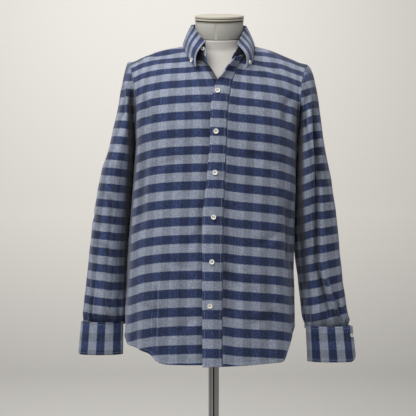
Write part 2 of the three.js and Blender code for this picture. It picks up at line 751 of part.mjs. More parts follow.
// The direction in a piece's surface, away from its edge, for each point of the edge.
function edgeInwards(grid, normals, around) {
  const columns = grid.length;
  const rows = grid[0].length;
  const cell = (i, j) => {
    const column = around ? (i + columns) % columns : Math.min(columns - 1, Math.max(0, i));
    return grid[column][Math.min(rows - 1, Math.max(0, j))];
  };
  return grid.map((column, i) => column.map((place, j) => {
    const inward = point(0, 0, 0);
    const steps = [];
    if (j === 0) {
      steps.push([0, 1]);
    }
    if (j === rows - 1) {
      steps.push([0, -1]);
    }
    if (!around && i === 0) {
      steps.push([1, 0]);
    }
    if (!around && i === columns - 1) {
      steps.push([-1, 0]);
    }
    for (const [di, dj] of steps) {
      const alongI = dj !== 0 ? 1 : 0;
      const alongJ = di !== 0 ? 1 : 0;
      const edge = cell(i + alongI, j + alongJ).clone().sub(cell(i - alongI, j - alongJ)).normalize();
      const towards = cell(i + di, j + dj).clone().sub(place);
      inward.add(towards.addScaledVector(edge, -towards.dot(edge)).normalize());
    }
    return inward;
  }));
}

function pieceOf(name, grid, finish, options = {}) {
  const { around = false, out = 1, thick = clothThick, lift = 0 } = options;
  const { inset = seamGap / 2, isSleeve = false } = options;
  const normals = gridNormals(grid, around, out);
  const inwards = edgeInwards(grid, normals, around);
  grid.forEach((column, i) => column.forEach((place, j) => {
    if (inwards[i][j].lengthSq() > 0) {
      noteSeam(place, normals[i][j], isSleeve);
    }
  }));
  return { name, grid, finish, around, out, thick, lift, inset, isSleeve, normals, inwards };
}

// A wall under a grid of points: its outer face, its inner face and the rim round its edges.
function wallGeometry(piece) {
  const { grid, around, thick, lift, inset, normals, inwards } = piece;
  const columns = grid.length;
  const rows = grid[0].length;
  const places = [];
  const push = (place) => places.push(place.x, place.y, place.z);
  const outer = [];
  grid.forEach((column, i) => column.forEach((place, j) => {
    const inward = inwards[i][j];
    const isEdge = inward.lengthSq() > 0;
    const normal = isEdge ? seamNormal(place) : normals[i][j];
    const moved = place.clone().addScaledVector(normal, lift);
    if (isEdge && piece.isSleeve) {
      const body = seams.get(seamKey(place)).body.clone().normalize();
      const opposed = Math.max(0, -body.dot(normals[i][j]));
      const away = inward.clone().addScaledVector(body, 2 * opposed).normalize();
      moved.addScaledVector(away, mix(seamGap, armpitGap, opposed));
    } else {
      moved.addScaledVector(inward, inset);
    }
    outer.push({ moved, normal });
  }));
  outer.forEach(({ moved }) => push(moved));
  outer.forEach(({ moved, normal }) => push(moved.clone().addScaledVector(normal, -thick)));
  const count = outer.length;
  const index = [];
  const quad = (a, b, c, d) => index.push(a, b, c, a, c, d);
  const id = (i, j) => (i % columns) * rows + j;
  const lastColumn = around ? columns : columns - 1;
  for (let i = 0; i < lastColumn; i += 1) {
    for (let j = 0; j < rows - 1; j += 1) {
      quad(id(i, j), id(i + 1, j), id(i + 1, j + 1), id(i, j + 1));
      quad(count + id(i, j + 1), count + id(i + 1, j + 1), count + id(i + 1, j), count + id(i, j));
    }
    quad(id(i, 0), count + id(i, 0), count + id(i + 1, 0), id(i + 1, 0));
    quad(id(i, rows - 1), id(i + 1, rows - 1), count + id(i + 1, rows - 1), count + id(i, rows - 1));
  }
  if (!around) {
    for (let j = 0; j < rows - 1; j += 1) {
      quad(id(0, j), id(0, j + 1), count + id(0, j + 1), count + id(0, j));
      const end = columns - 1;
      quad(id(end, j), count + id(end, j), count + id(end, j + 1), id(end, j + 1));
    }
  }
  if (piece.out < 0) {
    for (let k = 0; k < index.length; k += 3) {
      [index[k], index[k + 1]] = [index[k + 1], index[k]];
    }
  }
  const geometry = new THREE.BufferGeometry();
  geometry.setAttribute("position", new THREE.Float32BufferAttribute(places, 3));
  geometry.setIndex(index);
  return geometry;
}

function addMesh(name, geometry, finish, parent = shirt) {
  const mesh = new THREE.Mesh(geometry, finish);
  mesh.name = name;
  parent.add(mesh);
  return mesh;
}

// A closed solid of rings, with its first and last ring filled.
function ringSolid(rings) {
  const faces = rings[0].length;
  const places = [];
  const index = [];
  rings.forEach((ring) => ring.forEach((place) => places.push(place.x, place.y, place.z)));
  for (let row = 0; row < rings.length - 1; row += 1) {
    for (let face = 0; face < faces; face += 1) {
      const a = row * faces + face;
      const b = row * faces + ((face + 1) % faces);
      index.push(a, b, b + faces, a, b + faces, a + faces);
    }
  }
  [0, rings.length - 1].forEach((row, end) => {
    const middle = rings[row].reduce((sum, place) => sum.add(place), point(0, 0, 0)).divideScalar(faces);
    const hub = places.length / 3;
    places.push(middle.x, middle.y, middle.z);
    for (let face = 0; face < faces; face += 1) {
      const a = row * faces + face;
      const b = row * faces + ((face + 1) % faces);
      index.push(...(end === 0 ? [b, a, hub] : [a, b, hub]));
    }
  });
  const geometry = new THREE.BufferGeometry();
  geometry.setAttribute("position", new THREE.Float32BufferAttribute(places, 3));
  geometry.setIndex(index);
  return geometry;
}

function lathe(profile, faces = roundFaces) {
  const geometry = new THREE.LatheGeometry(profile.map(([r, z]) => new THREE.Vector2(r, z)), faces);
  return geometry.rotateX(Math.PI / 2);
}

function formRing(row) {
  return Array.from({ length: formFaces }, (_, face) => {
    const angle = (face / formFaces) * 2 * Math.PI;
    const across = Math.cos(angle);
    const ahead = Math.sin(angle);
    const deep = ahead < 0 ? row.front : row.back;
    const x = row.middle + Math.sign(across) * Math.abs(across) ** (2 / row.power) * row.half;
    const y = Math.sign(ahead) * Math.abs(ahead) ** (2 / row.power) * deep;
    return point(x, y, row.z + y * row.tilt);
  });
}

function addForm() {
  const rings = [];
  formSections.forEach((row, index) => {
    if (index > 0) {
      const before = formSections[index - 1];
      rings.push(formRing(readTable(formSections, "z", (before.z + row.z) / 2)));
    }
    rings.push(formRing(row));
  });
  addMesh("form_torso", ringSolid(rings), finishes.form);
  const last = formSections[formSections.length - 1];
  const top = new THREE.Group();
  top.position.set(last.middle, 0, last.z);
  top.rotation.x = formTilt;
  shirt.add(top);
  const neck = lathe([[0, 0], [neckRadius, 0], [neckRadius, neckHeight], [0, neckHeight]]);
  addMesh("form_neck", neck.translate(0, 0, seamGap), finishes.neck, top);
  const cap = lathe([
    [0, 0],
    [neckRadius + 1, 0],
    [neckRadius + 1, capHeight * 0.5],
    [neckRadius + 1 - capGroove, capHeight * 0.5 + 0.5],
    [neckRadius + 1, capHeight * 0.5 + 1],
    [neckRadius + 1, capHeight - 2],
    [neckRadius - 1, capHeight],
    [0, capHeight],
  ]);
  addMesh("form_cap", cap.translate(0, 0, neckHeight + 2 * seamGap), finishes.form, top);
}

function addStand() {
  const formFoot = formSections[0].z;
  const flangeTop = formFoot - seamGap;
  const flange = lathe([[0, 0], [flangeRadius, 0], [flangeRadius, flangeThick], [0, flangeThick]]);
  addMesh("form_flange", flange.translate(0, 0, flangeTop - flangeThick), finishes.chrome);
  const poleFoot = baseThick + seamGap;
  const poleTop = flangeTop - flangeThick - seamGap;
  const pole = lathe([[0, poleFoot], [poleRadius, poleFoot], [poleRadius, poleTop], [0, poleTop]], poleFaces);
  addMesh("stand_pole", pole, finishes.chrome);
  const socket = poleRadius + seamGap;
  const base = lathe([
    [0, 0],
    [baseRadius - 3, 0],
    [baseRadius, 3],
    [baseRadius - 3, baseThick],
    [baseCollarRadius + 3, baseThick + 2],
    [baseCollarRadius, baseThick + 6],
    [baseCollarRadius, baseCollarTop - 2],
    [baseCollarRadius - 2, baseCollarTop],
    [socket, baseCollarTop],
    [socket, baseThick],
    [0, baseThick],
  ]);
  addMesh("stand_base", base, finishes.chrome);
}

function addButton(name, { place, normal }, radius, seat = buttonSeat) {
  const profile = [
    [0, 0],
    [radius - 0.8, 0],
    [radius, 0.9],
    [radius - 0.5, buttonThick],
    [radius - 1.6, buttonThick],
    [radius - 2.2, buttonThick - buttonDish],
    [0, buttonThick - buttonDish],
  ];
  const mesh = addMesh(name, lathe(profile, buttonFaces), finishes.button);
  mesh.position.copy(place).addScaledVector(normal, seat);
  mesh.quaternion.setFromUnitVectors(point(0, 0, 1), normal);
}

const frontRight = frontGrid(right);
const frontLeft = frontGrid(left);
const placket = placketGrid();
const back = backGrid();
const yoke = yokeGrid();

const pieces = [
  pieceOf("front_right", frontRight, finishes.cloth, { out: -1 }),
  pieceOf("front_left", frontLeft, finishes.cloth),
  pieceOf("front_placket", placket, finishes.band, { lift: placketLift, thick: bandThick }),
  pieceOf("back", back, finishes.cloth, { out: -1 }),
  pieceOf("yoke", yoke, finishes.cloth, { out: -1 }),
];
for (const [side, name, front] of [[right, "right", frontRight], [left, "left", frontLeft]]) {
  const rings = sleeveGrid(side, armholeLoop(side, front, yoke, back));
  const columns = rings[0].map((_, index) => rings.map((ring) => ring[index]));
  pieces.push(pieceOf(`sleeve_${name}`, columns, finishes.cloth, { around: true, out: -side, isSleeve: true }));
  pieces.push(pieceOf(`cuff_${name}`, cuffGrid(side), finishes.band, { out: side, thick: bandThick }));
}
pieces.push(pieceOf("collar_stand", standGrid(), finishes.band, { out: -1, thick: bandThick, inset: 0 }));
pieces.push(pieceOf("collar_leaf", leafGrid(), finishes.cloth, { out: 1, thick: bandThick, inset: 0 }));
for (const piece of pieces) {
  addMesh(piece.name, wallGeometry(piece), piece.finish);
}

addForm();
addStand();

// The point of a piece's outer face that shows from the front at a given width and height.
function facePoint(piece, x, z) {
  const { grid, normals, lift } = piece;
  for (let i = 0; i < grid.length - 1; i += 1) {
    for (let j = 0; j < grid[0].length - 1; j += 1) {
      for (const [b, c] of [[[1, 0], [1, 1]], [[1, 1], [0, 1]]]) {
        const corners = [[i, j], [i + b[0], j + b[1]], [i + c[0], j + c[1]]];
        const [p, q, r] = corners.map(([column, row]) => grid[column][row]);
        const area = (q.x - p.x) * (r.z - p.z) - (r.x - p.x) * (q.z - p.z);
        const v = ((x - p.x) * (r.z - p.z) - (r.x - p.x) * (z - p.z)) / area;
        const w = ((q.x - p.x) * (z - p.z) - (x - p.x) * (q.z - p.z)) / area;
        const normal = normals[i][j];
        if (v >= 0 && w >= 0 && v + w <= 1 && normal.y < 0) {
          const place = p.clone().addScaledVector(q.clone().sub(p), v).addScaledVector(r.clone().sub(p), w);
          const flat = q.clone().sub(p).cross(r.clone().sub(p)).normalize();
          const outward = flat.dot(normal) < 0 ? flat.negate() : flat;
          return { place: place.addScaledVector(outward, lift), normal: outward };
        }
      }
    }
  }
  throw new Error(`${piece.name} has no face at ${x}, ${z}`);
}

function pieceNamed(name) {
  return pieces.find((piece) => piece.name === name);
}

frontButtons.forEach(({ x, z }, index) => {
  addButton(`button_front_${index + 1}`, facePoint(pieceNamed("front_placket"), x, z), buttonRadius);
});
for (const { name, on, x, z, seat } of collarButtons) {
  addButton(name, facePoint(pieceNamed(on), x, z), smallButtonRadius, seat);
}
for (const side of ["right", "left"]) {
  const cuff = pieceNamed(`cuff_${side}`);
  const column = cuff.grid.length - 3;
  const row = cuffRows - 1;
  const place = cuff.grid[column][row];
  const normal = cuff.normals[column][row];
  addButton(`button_cuff_${side}`, { place, normal }, smallButtonRadius);
}

export default shirt;
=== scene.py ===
import math

import bmesh
import bpy
import numpy as np
from mathutils import Matrix, Vector


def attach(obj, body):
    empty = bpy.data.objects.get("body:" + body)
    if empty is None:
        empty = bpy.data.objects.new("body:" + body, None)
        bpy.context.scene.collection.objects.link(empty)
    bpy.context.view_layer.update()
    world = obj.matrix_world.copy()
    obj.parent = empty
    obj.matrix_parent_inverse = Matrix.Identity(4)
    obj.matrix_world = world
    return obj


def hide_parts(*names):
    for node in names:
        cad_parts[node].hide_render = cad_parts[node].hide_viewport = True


# A flannel shirt with a button-down collar, worn by a limbless dress form on a pole.
# The front faces -Y. Sizes are in millimetres, apart from the values that a comment calls metres.
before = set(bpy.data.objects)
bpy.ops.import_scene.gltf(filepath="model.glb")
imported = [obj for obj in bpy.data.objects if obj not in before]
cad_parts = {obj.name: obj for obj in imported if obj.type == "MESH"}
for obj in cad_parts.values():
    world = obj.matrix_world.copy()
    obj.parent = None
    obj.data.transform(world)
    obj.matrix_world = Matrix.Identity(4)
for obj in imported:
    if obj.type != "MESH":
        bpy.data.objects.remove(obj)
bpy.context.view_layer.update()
mm = 0.001
right, left = -1, 1      # the wearer's sides: the right one is on the left from the front
print("frame loaded,", len(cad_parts), "nodes")


def table(columns, *rows):
    values = np.array(rows, float)
    return {name: values[:, index] for index, name in enumerate(columns.split())}


# The camera, the floor and the light

cameraSetup = {
    "place": (-0.0133, -2.2, 1.137),      # metres
    "focal": 941, "pixels": 416,          # the focal length and the picture's width in the photo's pixels
    "sensor": 36,
}
studio = {                                # all in metres
    # The backdrop is painted darker low down, with painted shade: floor colour on the ground, wall colour
    # from paleFrom metres up
    "floor": (0.44, 0.43, 0.41), "wall": (0.70, 0.68, 0.645), "paleFrom": 1.1,
    "wallAt": 5.4, "wallHeight": 5.5, "half": 9.0, "bend": 1.2,
    "world": (1.0, 0.99, 0.97), "worldStrength": 0.32,
    "lights": [  # place, where it points, size, power, colour
        ((-1.0, -1.5, 3.25), (0, 0, 1.4), 2.2, 79, (1.0, 0.985, 0.96)),
        ((2.0, -1.8, 3.2), (0, 0, 1.3), 2.0, 8, (0.97, 0.985, 1.0)),
        ((-0.5, 2.0, 3.5), (-0.8, 5.4, 0.9), 3.4, 126, (1.0, 1.0, 1.0)),
    ],
}


def placeCamera():
    data = bpy.data.cameras.new("camera")
    data.sensor_width = cameraSetup["sensor"]
    data.lens = cameraSetup["sensor"] * cameraSetup["focal"] / cameraSetup["pixels"]
    data.clip_end = 40
    camera = bpy.data.objects.new("camera", data)
    bpy.context.scene.collection.objects.link(camera)
    camera.location = cameraSetup["place"]
    camera.rotation_euler = (math.pi / 2, 0, 0)
    bpy.context.scene.camera = camera


def placeLights():
    for index, (place, aim, size, power, colour) in enumerate(studio["lights"]):
        data = bpy.data.lights.new(f"lamp{index}", "AREA")
        data.shape = "DISK"
        data.size = size
        data.energy = power
        data.color = colour
        lamp = bpy.data.objects.new(f"lamp{index}", data)
        bpy.context.scene.collection.objects.link(lamp)
        lamp.location = place
        lamp.rotation_euler = (Vector(aim) - Vector(place)).to_track_quat("-Z", "Y").to_euler()
    world = bpy.data.worlds.new("studio")
    bpy.context.scene.world = world
    world.use_nodes = True
    background = world.node_tree.nodes["Background"]
    background.inputs["Color"].default_value = (*studio["world"], 1)
    background.inputs["Strength"].default_value = studio["worldStrength"]
    bpy.context.scene.view_settings.view_transform = "Standard"


# Shader maths: a socket that takes part in Python expressions


class Sock:
    def __init__(self, tree, socket):
        self.tree = tree
        self.socket = socket

    def math(self, operation, *others):
        node = self.tree.nodes.new("ShaderNodeMath")
        node.operation = operation
        for slot, value in enumerate((self, *others)):
            if isinstance(value, Sock):
                self.tree.links.new(value.socket, node.inputs[slot])
            else:
                node.inputs[slot].default_value = value
        return Sock(self.tree, node.outputs[0])

    def __add__(self, other):
        return self.math("ADD", other)

    __radd__ = __add__

    def __sub__(self, other):
        return self.math("SUBTRACT", other)

    def __rsub__(self, other):
        node = self.tree.nodes.new("ShaderNodeMath")
        node.operation = "SUBTRACT"
        node.inputs[0].default_value = other
        self.tree.links.new(self.socket, node.inputs[1])
        return Sock(self.tree, node.outputs[0])

    def __mul__(self, other):
        return self.math("MULTIPLY", other)

    def __truediv__(self, other):
        return self.math("DIVIDE", other)

    def held(self):                  # kept between 0 and 1
        return self.math("MAXIMUM", 0.0).math("MINIMUM", 1.0)

    def wave(self):                  # a triangle wave, 0 at whole numbers and 1 half way between
        return 1 - self.math("FRACT").math("SUBTRACT", 0.5).math("ABSOLUTE") * 2

    def step(self, edge, softness):  # 0 below the edge and 1 above it, softly
        return ((self - edge) / softness + 0.5).held()


class Finish:
    def __init__(self, name):
        self.material = bpy.data.materials.new(name)
        self.material.use_nodes = True
        self.tree = self.material.node_tree
        self.tree.nodes.clear()
        self.shader = self.tree.nodes.new("ShaderNodeBsdfPrincipled")
        output = self.tree.nodes.new("ShaderNodeOutputMaterial")
        self.tree.links.new(self.shader.outputs[0], output.inputs[0])

    def node(self, kind, settings=None, out=0, **values):
        node = self.tree.nodes.new(kind)
        for name, value in (settings or {}).items():
            setattr(node, name, value)
        for name, value in values.items():
            label = name.replace("_", " ")
            slot = node.inputs[label if label in node.inputs else int(name[1:])]
            if isinstance(value, Sock):
                self.tree.links.new(value.socket, slot)
            else:
                slot.default_value = value
        return Sock(self.tree, node.outputs[out])

    def coords(self, output):
        return self.node("ShaderNodeTexCoord", out=output)

    def parts(self, vector):
        node = self.tree.nodes.new("ShaderNodeSeparateXYZ")
        self.tree.links.new(vector.socket, node.inputs[0])
        return [Sock(self.tree, socket) for socket in node.outputs]

    def noise(self, vector, scale, detail=2.0, roughness=0.5):
        return self.node("ShaderNodeTexNoise", Vector=vector, Scale=scale, Detail=detail, Roughness=roughness)

    def stretched(self, vector, scale):
        return self.node("ShaderNodeMapping", Vector=vector, Scale=scale)

    def mix(self, share, a, b, blend="MIX"):
        settings = {"data_type": "RGBA", "blend_type": blend, "clamp_factor": True}
        return self.node("ShaderNodeMix", settings, out=2, _0=share, _6=a, _7=b)

    def bump(self, height, distance, strength):
        return self.node("ShaderNodeBump", Height=height, Distance=distance, Strength=strength)

    def set(self, **values):
        for name, value in values.items():
            slot = self.shader.inputs[name.replace("_", " ")]
            if isinstance(value, Sock):
                self.tree.links.new(value.socket, slot)
            else:
                slot.default_value = value
        return self.material


def rgb(red, green, blue):     # a colour given as it looks, from 0 to 255
    parts = [value / 255 for value in (red, green, blue)]
    return (*[p / 12.92 if p <= 0.04045 else ((p + 0.055) / 1.055) ** 2.4 for p in parts], 1)


# The cut of the shirt: smooth tables and the surfaces that they make

bodyCut = {
    "underarm": 1290, "hemBand": 7, "spacing": 4, "thick": 1.5, "arcSteps": 160, "hemAt": 800,
    "lowest": {"front": 790, "back": 780}, "columns": {"front": 58, "placket": 15, "back": 131},
    "chestRows": {"front": 57, "back": 46}, "yokeRows": 32,
    "sections": table("z middle half front back power",
        (740, -8, 202, 132, 150, 2.5), (875, -9, 199, 131, 146, 2.5), (1039, -7, 195, 130, 138, 2.5),
        (1170, 0, 191, 129, 132, 2.6), (1290, 6, 188, 128, 126, 2.7)),
    # Each fold's place round the body is 0 in front, 1 at the side seam and 2 at the back
    "folds": table("at lean low high width depth",
        (-0.57, 0.01, 740, 960, 0.07, 7), (-0.66, 0.01, 740, 940, 0.06, -7),
        (-0.86, -0.02, 760, 1250, 0.09, -4), (0.88, -0.015, 760, 1240, 0.09, -7),
        (0.7, -0.012, 740, 1120, 0.1, 4), (-0.35, 0.02, 740, 1100, 0.12, 3),
        (0.42, -0.02, 740, 1060, 0.1, -3), (-1.3, 0.03, 740, 1200, 0.13, 9),
        (-1.52, 0.03, 740, 1240, 0.12, -9), (-1.75, 0.01, 740, 1150, 0.12, 7),
        (1.92, 0, 740, 1180, 0.13, -7), (1.66, -0.02, 740, 1230, 0.12, 8),
        (1.42, -0.03, 740, 1200, 0.12, -8)),
    "hems": {
        right: table("at z",
            (-0.2, 789), (0, 791), (0.36, 792), (0.44, 798), (0.49, 812), (0.56, 819), (0.68, 824),
            (0.82, 829), (1, 838), (1.2, 815), (1.5, 778), (2, 765)),
        left: table("at z",
            (-0.2, 786), (0, 787), (0.55, 792), (0.63, 795), (0.67, 814), (0.73, 840), (0.85, 858),
            (1, 864), (1.2, 828), (1.5, 780), (2, 765))},
    "placket": table("z free stitch",
        (740, -25, 17.5), (921, -26, 17.7), (1119, -24.5, 19.9), (1201, -16.2, 23.2), (1290, -9, 27.5)),
    "placketLift": 1.6, "placketThick": 2, "underlapBack": 5, "underlapDepth": 2.2, "neckShare": 0.3,
    "underlapFade": ((0, 0.075, 0.15, 0.225), (1, 0.9, 0.25, 0)),
    "yokeNeck": 0.35,            # the share of the back's width from the armhole to the neck
    "frontSeam": {right: (-199, -16, 1471), left: (217, -16, 1466)},
    "ridge": {right: (-203, 14, 1494), left: (221, 14, 1489)},
    "yokeSeam": table("at x y z",
        (0, -193, 64, 1424), (0.12, -165, 92, 1422), (0.3, -88, 115, 1421), (0.5, 8, 121, 1420),
        (0.7, 103, 115, 1420), (0.88, 180, 92, 1420), (1, 208, 64, 1420)),
}
collarCut = {
    "rows": table("at neckX neckY neckZ foldX foldY foldZ edgeX edgeY edgeZ bowX bowY",
        (0, -17, -100, 1463, -18.5, -85, 1510, -41, -113, 1449, -9, -5),
        (1, -42, -76, 1478, -30, -65, 1524, -53, -90, 1467, -7, -5),
        (2, -56, -42, 1499, -40, -37, 1543, -65, -50, 1494, -4, -4),
        (3, -59, -8, 1517, -49.5, -4, 1560, -72, -4, 1518, -1, 0),
        (4, -52, 28, 1527, -43, 30, 1569, -66, 42, 1527, -4, 3),
        (5, -26, 56, 1532, -22, 54, 1573, -32, 74, 1531, -2, 4),
        (6, 13, 66, 1534, 13, 63, 1575, 13, 85, 1532, 0, 5),
        (7, 52, 56, 1532, 48, 54, 1573, 58, 74, 1531, 2, 4),
        (8, 77, 28, 1526, 68, 30, 1567, 91, 42, 1526, 4, 3),
        (9, 83, -8, 1516, 74, -4, 1557, 96, -4, 1517, 1, 0),
        (10, 80, -42, 1500, 66, -37, 1536, 92, -50, 1493, 4, -4),
        (11, 64, -76, 1484, 59, -65, 1518, 86, -88, 1463, 8, -5),
        (12, 42, -98, 1474, 52, -85, 1504, 69, -110, 1444, 12, -5)),
    "middle": (13, -5, 0), "placketAt": 10.75, "shoulderAt": {right: 3, left: 9}, "napeAt": 6, "lastAt": 12,
    "frontAt": {right: 0, left: 10.75}, "columns": 181, "thick": 2,
    "standLift": 0.9, "standBow": 2, "standRound": 0.3, "standRoundDrop": 6, "allowance": (2.6, 7.0),
    "foldOut": 1.1, "foldUp": 0.2, "foldRadius": 3, "checkFrom": -6,
}

# Handles of the curves above the underarm. Their x is multiplied by the side that a call names.
handles = {
    "chest": (0, -3, 95), "armpitFront": (-2, -90, 2), "seamFront": (-30, -78, -48),
    "shoulder": (0, -80, -42), "neckRight": (39, -18, -51), "neckLeft": (-31, -42, -55),
    "placketFree": (-46, -20, -49),
    "back": (0, 0, 46), "armpitBack": (-1, 74, 2), "cornerBack": (-12, 14, -52), "backTop": (0, 6, -44),
    "yoke": (0, -4, 46), "yokeArm": (4, -10, 30),
}


def handle(name, side=1):
    x, y, z = handles[name]
    side = np.asarray(side, float)
    return np.stack([x * side, y + 0 * side, z + 0 * side], axis=-1)


def readTable(rows, key, places):
    order = 1 if rows[key][-1] > rows[key][0] else -1
    keys = rows[key][::order]
    places = np.asarray(places, float)
    index = np.clip(np.searchsorted(keys, places) - 1, 0, len(keys) - 2)
    width = keys[index + 1] - keys[index]
    share = np.clip((places - keys[index]) / width, 0, 1)
    square, cube = share ** 2, share ** 3
    found = {}
    for name, column in rows.items():
        values = column[::order]
        slopes = np.empty(len(keys))
        slopes[1:-1] = (values[2:] - values[:-2]) / (keys[2:] - keys[:-2])
        slopes[0] = (values[1] - values[0]) / (keys[1] - keys[0])
        slopes[-1] = (values[-1] - values[-2]) / (keys[-1] - keys[-2])
        ends = (2 * cube - 3 * square + 1) * values[index] + (3 * square - 2 * cube) * values[index + 1]
        bends = (cube - 2 * square + share) * slopes[index] + (cube - square) * slopes[index + 1]
        found[name] = ends + bends * width
    return found


def mix(a, b, share):
    return a + (b - a) * share


def ease(share):
    held = np.clip(share, 0, 1)
    return held * held * (3 - 2 * held)


def unit(vectors):
    return vectors / np.maximum(np.linalg.norm(vectors, axis=-1, keepdims=True), 1e-9)


def bezier(start, leave, arrive, end, share):
    s = np.asarray(share)[..., None]
    return (1 - s) ** 3 * start + 3 * (1 - s) ** 2 * s * leave + 3 * (1 - s) * s ** 2 * arrive + s ** 3 * end


def sweep(start, leave, arrive, end, shares):      # curves from the starts to the ends, a row for each share
    return np.stack([bezier(start, leave, arrive, end, share) for share in shares], axis=1)


# A quarter of a rounded section, from its middle (0, depth) to its side (half, 0), by a share of its length
def quarterPoints(half, depth, power, share):
    angle = np.linspace(0, np.pi / 2, bodyCut["arcSteps"] + 1)
    rise = (2 / power)[:, None]
    x = half[:, None] * np.sin(angle) ** rise
    y = depth[:, None] * np.maximum(0, np.cos(angle)) ** rise
    y[:, -1] = 0
    steps = np.hypot(np.diff(x, axis=1), np.diff(y, axis=1))
    length = np.concatenate([np.zeros((len(x), 1)), np.cumsum(steps, axis=1)], axis=1)
    target = length[:, -1] * np.abs(share)
    index = np.clip((length < target[:, None]).sum(axis=1), 1, len(angle) - 1)
    row = np.arange(len(x))
    low = length[row, index - 1]
    within = (target - low) / (length[row, index] - low)
    side = np.where(share < 0, -1, 1)
    return (mix(x[row, index - 1], x[row, index], within) * side,
        mix(y[row, index - 1], y[row, index], within), length[:, -1])


def foldDepth(folds, place, z):
    depth = np.zeros_like(z)
    rows = zip(*(folds[name] for name in "at lean low high width depth".split()))
    for at, lean, low, high, width, deep in rows:
        share = (z - low) / (high - low)
        across = (place - at - lean * (z - low) / 100) / width
        depth += deep * np.exp(-across ** 2) * ease((1 - share) * 1.6)
    return depth


# Points of the body below the underarm, by height and place round it
def bodyPoints(z, place):
    shape = np.broadcast(z, place).shape
    z, place = (np.broadcast_to(value, shape).ravel().astype(float) for value in (z, place))
    section = readTable(bodyCut["sections"], "z", z)
    around = np.abs(place)
    atFront = around <= 1
    depth = np.where(atFront, section["front"], section["back"])
    x, y, _ = quarterPoints(section["half"], depth, section["power"], np.where(atFront, around, 2 - around))
    out = unit(np.stack([x / section["half"] ** 2, y / depth ** 2], axis=-1))
    side = np.where(place < 0, -1, 1)
    wholeTurn = 4
    fold = foldDepth(bodyCut["folds"], place, z) + foldDepth(bodyCut["folds"], place - side * wholeTurn, z)
    px = section["middle"] + side * (x + out[:, 0] * fold)
    py = (y + out[:, 1] * fold) * np.where(atFront, -1, 1)
    return np.stack([px, py, z], axis=-1).reshape(*shape, 3)


def frontPlaces(z, side, x):
    shape = np.broadcast(z, x).shape
    z, x = (np.broadcast_to(value, shape).ravel().astype(float) for value in (z, x))
    section = readTable(bodyCut["sections"], "z", z)
    length = quarterPoints(section["half"], section["front"], section["power"], np.ones(len(z)))[2]
    return (side * (x - section["middle"]) / length).reshape(shape)


def necklinePoints(at):
    row = readTable(collarCut["rows"], "at", at)
    return np.stack([row["neckX"], row["neckY"], row["neckZ"]], axis=-1)


def shoulderSeamPoints(side, share):
    share = np.asarray(share)[..., None]
    neck = necklinePoints(collarCut["shoulderAt"][side])
    seam = mix(neck, np.array(bodyCut["frontSeam"][side], float), share)
    return seam + np.array([0, 0, 5.0]) * np.sin(np.pi * share)


def yokeSeamPoints(share):
    row = readTable(bodyCut["yokeSeam"], "at", share)
    return np.stack([row["x"], row["y"], row["z"]], axis=-1)


def rowHeights(lowest):      # shares of the height up to the underarm, close together along the hem
    band, spacing = bodyCut["hemBand"], bodyCut["spacing"]
    length = bodyCut["underarm"] - lowest
    hem = np.array([0, 1.2, band * 0.5, band - 0.6, band + 0.6, band + 2])
    rest = np.linspace(band + 2 + spacing, length, round((length - band) / spacing), endpoint=False)
    return np.concatenate([hem, rest]) / length


# Columns of a front: from the hem to the neckline or the shoulder seam, by their share of the way to the side
def frontSheet(side, edgeOf, shares, ends, arrive, pull):
    underarm = float(bodyCut["underarm"])
    placeAt = lambda z: mix(frontPlaces(z, side, edgeOf(z)), 1, shares)
    hemPlaces = placeAt(np.full(len(shares), float(bodyCut["hemAt"])))
    hem = readTable(bodyCut["hems"][side], "at", hemPlaces)["z"]
    z = hem[:, None] + (underarm - hem)[:, None] * rowHeights(bodyCut["lowest"]["front"])
    flat = np.stack([placeAt(column) for column in z.T], axis=1)
    lower = bodyPoints(z, side * flat)
    level = np.full(len(shares), underarm)
    start = bodyPoints(level, side * placeAt(level))
    armpit = bodyPoints(np.array([underarm]), np.array([side]))[0]
    near = (pull ** 2)[:, None]
    leave = mix(start + handle("chest"), armpit + handle("armpitFront", side), near)
    reach = mix(ends + arrive, np.array(bodyCut["frontSeam"][side]) + handle("seamFront", side), near)
    upper = np.linspace(0, 1, bodyCut["chestRows"]["front"])
    return np.concatenate([lower, sweep(start, leave, reach, ends, upper)], axis=1)


def frontPanel(side):
    shares = np.linspace(0, 1, bodyCut["columns"]["front"])
    inset = 0 if side == left else bodyCut["underlapBack"]
    edgeOf = lambda z: readTable(bodyCut["placket"], "z", z)["stitch"] - inset
    neck = bodyCut["neckShare"]
    toNeck = np.clip(shares / neck, 0, 1)
    pull = np.clip((shares - neck) / (1 - neck), 0, 1)
    at = mix(collarCut["frontAt"][side], collarCut["shoulderAt"][side], toNeck)
    ends = np.where((shares <= neck)[:, None], necklinePoints(at), shoulderSeamPoints(side, pull))
    arrive = mix(handle("neckLeft" if side == left else "neckRight"), handle("shoulder"), toNeck[:, None])
    points = frontSheet(side, edgeOf, shares, ends, arrive, pull)
    if side == right:
        sunk = np.interp(shares, *bodyCut["underlapFade"])
        points[..., 1] += bodyCut["underlapDepth"] * sunk[:, None]
    return points


def placketPanel():
    across = np.linspace(0, 1, bodyCut["columns"]["placket"])

    def edgeOf(z):
        lines = readTable(bodyCut["placket"], "z", z)
        return mix(lines["free"], lines["stitch"], across)

    ends = necklinePoints(mix(collarCut["lastAt"], collarCut["placketAt"], across))
    arrive = mix(handle("placketFree"), handle("neckLeft"), across[:, None])
    return frontSheet(left, edgeOf, np.zeros(len(across)), ends, arrive, np.zeros(len(across)))


